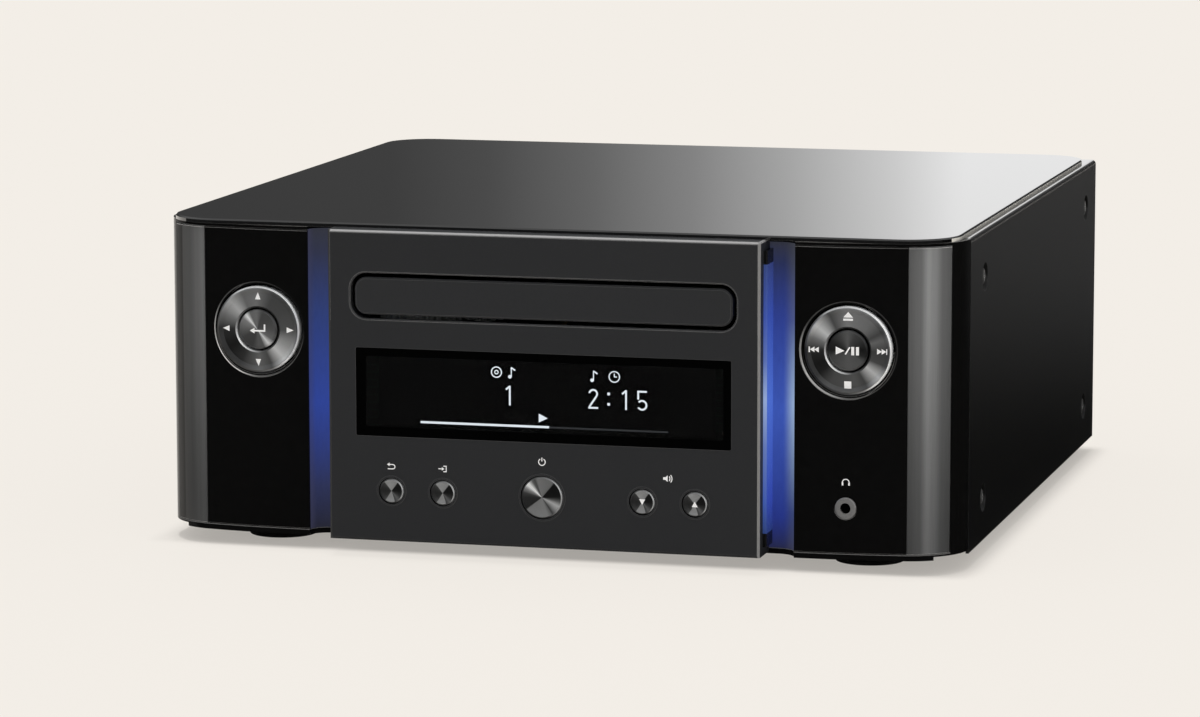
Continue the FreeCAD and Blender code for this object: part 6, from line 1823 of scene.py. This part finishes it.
@dataclass
class Studio:
    """The pale floor, the even light and the camera at the photograph's place.

    Attributes:
        floor: the colour of the floor and of the backdrop that the camera sees.
        floor_half: half of the floor's side, and floor_ahead how far its middle lies behind the object.
        sky: the sky's level on dull surfaces, and sun the lamp's.
        backdrop: what reflections see behind: the direction's x with its level.
        front: the level that they see in front on the left; it rises to 1 over front_run, the directions' x.
        behind_run: the directions' y over which what is behind takes over from what is in front.
        overhead: the level that they see above, reached over overhead_run, the directions' z.
        sun_way: the way of the lamp's light, and sun_angle its width in degrees.
        shade_share: how much of the floor's plain colour the camera sees near and away from the object.
        shade_reach: the distances between which that share rises, in metres.
        footprint: half of the size of the object's foot on the floor.
        cards: the dark cards, card_height how high they lie, and card_run y where their level changes.
        place: the camera's place, with its turns in degrees and its lens in millimetres after it.
    """

    floor: Colour = tint(243, 238, 231)
    floor_half: float = 7.0
    floor_ahead: float = 3.5
    sky: float = 0.6
    sun: float = 0.4
    backdrop: Wedges = ((-0.33, 0.055), (-0.295, 0.06), (-0.276, 0.088), (-0.2566, 0.157),
                        (-0.237, 0.279), (-0.218, 0.468), (-0.198, 0.73), (-0.185, 0.97), (-0.02, 1.0),
                        (0.07, 0.06), (0.35, 0.06))
    front: float = 0.06
    front_run: tuple[float, float] = (-0.2, 0.6)
    behind_run: tuple[float, float] = (-0.1, 0.2)
    overhead: float = 0.5
    overhead_run: tuple[float, float] = (0.1, 0.8)
    sun_way: tuple[float, float, float] = (0.03, 0.0, -1.0)
    sun_angle: float = 9.0
    shade_share: tuple[float, float] = (0.42, 0.86)
    shade_reach: tuple[float, float] = (0.0, 9.0 * MM)
    footprint: tuple[float, float] = (139.5 * MM, 135.0 * MM)
    cards: tuple[Card, ...] = (Card("flag_front", (-0.2, -1.65), (1.6, 1.5), 0.05, 0.07),
                               Card("flag_side", (0.841, 0.9), (0.7, 1.05), 0.004, 0.1))
    card_height: float = 0.6 * MM
    card_run: tuple[float, float] = (0.1, 0.75)
    place: tuple[float, float, float] = (0.4439, -1.7464, 0.3128)
    yaw: float = 14.872
    pitch: float = 8.324
    roll: float = -0.066
    lens: float = 149.92

    def build(self) -> None:
        """Sets the stage, and shows colours as they are written."""
        bpy.context.scene.view_settings.view_transform = "Standard"
        self.lay_floor()
        self.lay_cards()
        self.light_sky()
        self.hang_sun()
        self.set_camera()

    def sheet(self, name: str, middle: tuple[float, float, float], half: tuple[float, float],
              s: Shader, segments: int = 1) -> bpy.types.Object:
        """Lays a flat sheet on the stage.

        Args:
            name: the sheet's name.
            middle: the place of its middle, in metres.
            half: half of its size across and along.
            s: the shader of its material.
            segments: the number of its faces each way.

        Returns:
            The sheet.
        """
        shape = bmesh.new()
        where = Matrix.Translation(middle) @ Matrix.Diagonal((*half, 1.0, 1.0))
        bmesh.ops.create_grid(shape, x_segments=segments, y_segments=segments, size=1.0, matrix=where)
        mesh = mesh_of(name, shape)
        mesh.materials.append(s.material)
        sheet = put(name, mesh)
        return sheet

    def lay_floor(self) -> None:
        """Lays a wide floor in one even colour with a faint tooth."""
        s = Shader("floor_paper")
        tooth = s.effect(GRAIN, Place=s.place, Scale=300.0)
        s.surface({"Base Color": s.mix(tooth["Mask"], scaled(self.floor, 0.997), self.floor),
                   "Roughness": 1.0, "Specular IOR Level": 0.0, "Normal": s.bump(tooth["Height"], 1e-6)})
        self.clear_far_shade(s)
        self.sheet("floor", (0.0, self.floor_ahead, 0.0), (self.floor_half, self.floor_half), s, segments=6)

    def clear_far_shade(self, s: Shader) -> None:
        """Shows the camera the floor's plain colour away from the object, which keeps its shade close.

        Args:
            s: the shader of the floor.
        """
        gaps = [s.math("MAXIMUM", s.minus(s.math("ABSOLUTE", value), half), 0.0)
                for value, half in zip(s.axes(s.place), self.footprint)]
        apart = s.math("SQRT", s.math("ADD", *[s.times(gap, gap) for gap in gaps]))
        near, far = self.shade_share
        share = s.linear(s.step(apart, *self.shade_reach), far - near, near)
        plain = s.node("ShaderNodeEmission", {"Color": self.floor})
        seen = s.times(share, s.node("ShaderNodeLightPath").outputs["Is Camera Ray"])
        blend = s.node("ShaderNodeMixShader", {0: seen, 1: s.principled.outputs[0], 2: plain.outputs[0]})
        s.feed(s.output.inputs["Surface"], blend.outputs[0])

    def lay_cards(self) -> None:
        """Lays the dark cards in front and on the right, as a studio's black cloth."""
        for card in self.cards:
            s = Shader(card.name)
            near, far = (scaled(WHITE, level) for level in (card.near, card.far))
            along = s.step(s.axes(s.place)[1], *self.card_run)
            s.surface({"Base Color": BLACK, "Specular IOR Level": 0.0, "Roughness": 1.0,
                       "Emission Color": s.mix(along, near, far), "Emission Strength": 1.0})
            cloth = self.sheet(card.name, (*card.middle, self.card_height), card.half, s)
            cloth.visible_camera = cloth.visible_diffuse = False
            cloth.visible_shadow = cloth.visible_transmission = False

    def light_sky(self) -> None:
        """Wires the sky: pale to the camera, even on dull surfaces, a bright band behind in reflections."""
        world = bpy.data.worlds.new("studio")
        world.use_nodes = True
        bpy.context.scene.world = world
        w = Wiring(world.node_tree)
        w.tree.nodes.clear()
        x, y, z = w.axes(w.node("ShaderNodeTexCoord").outputs["Generated"])
        left, right = self.backdrop[0][0], self.backdrop[-1][0]
        stops = [((spot - left) / (right - left), scaled(WHITE, level)) for spot, level in self.backdrop]
        band = w.ramp(w.step(x, left, right, smooth=False), stops)
        back = w.node("ShaderNodeRGBToBW", {0: band}).outputs[0]
        front = w.linear(w.step(x, *self.front_run), 1 - self.front, self.front)
        around = w.linear(w.step(y, *self.behind_run), w.minus(back, front), front)
        mirrored = w.math("MAXIMUM", around, w.times(w.step(z, *self.overhead_run), self.overhead))
        ray = w.node("ShaderNodeLightPath").outputs
        level = w.mix(ray["Is Glossy Ray"], scaled(WHITE, self.sky), w.mix(mirrored, BLACK, WHITE))
        seen = w.math("MAXIMUM", ray["Is Camera Ray"], ray["Is Transmission Ray"])
        sky = w.node("ShaderNodeBackground", {"Color": w.mix(seen, level, self.floor), "Strength": 1.0})
        w.node("ShaderNodeOutputWorld", {"Surface": sky.outputs[0]})

    def hang_sun(self) -> None:
        """Hangs one wide soft lamp over the object, which mirror reflections don't show."""
        way = Vector(self.sun_way).normalized()
        lamp = bpy.data.lights.new("soft_lamp", "SUN")
        lamp.energy = self.sun * math.pi / -way.z
        lamp.angle = math.radians(self.sun_angle)
        holder = put("soft_lamp", lamp)
        holder.rotation_euler = way.to_track_quat("-Z", "Y").to_euler()
        holder.visible_glossy = False

    def set_camera(self) -> None:
        """Sets the camera by its place, its turns and its lens."""
        yaw, pitch, roll = (math.radians(angle) for angle in (self.yaw, self.pitch, self.roll))
        look = Vector((-math.sin(yaw) * math.cos(pitch), math.cos(yaw) * math.cos(pitch), -math.sin(pitch)))
        right = Vector((math.cos(yaw), math.sin(yaw), 0.0))
        up = right.cross(look)
        across = math.cos(roll) * right + math.sin(roll) * up
        upright = -math.sin(roll) * right + math.cos(roll) * up
        lens = bpy.data.cameras.new("camera")
        lens.sensor_width = 36.0
        lens.lens = self.lens
        lens.clip_end = 100.0
        camera = put("camera", lens)
        turn = Matrix((across, upright, -look)).transposed().to_4x4()
        camera.matrix_world = Matrix.Translation(self.place) @ turn
        bpy.context.scene.camera = camera


def main() -> None:
    """Builds the receiver's looks on the CAD frame."""
    logging.basicConfig(level=logging.INFO, format="%(name)s: %(message)s")
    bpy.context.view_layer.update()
    for assembly in (Casework(), FrontPanel(), DirectionKeys(), SmallButtons(), Readout(), Loader(),
                     Electronics(), RearSockets(), Fasteners(), Studio()):
        assembly.build()
        LOG.info("%s built", type(assembly).__name__)


if __name__ == "__main__":
    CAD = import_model()
    main()
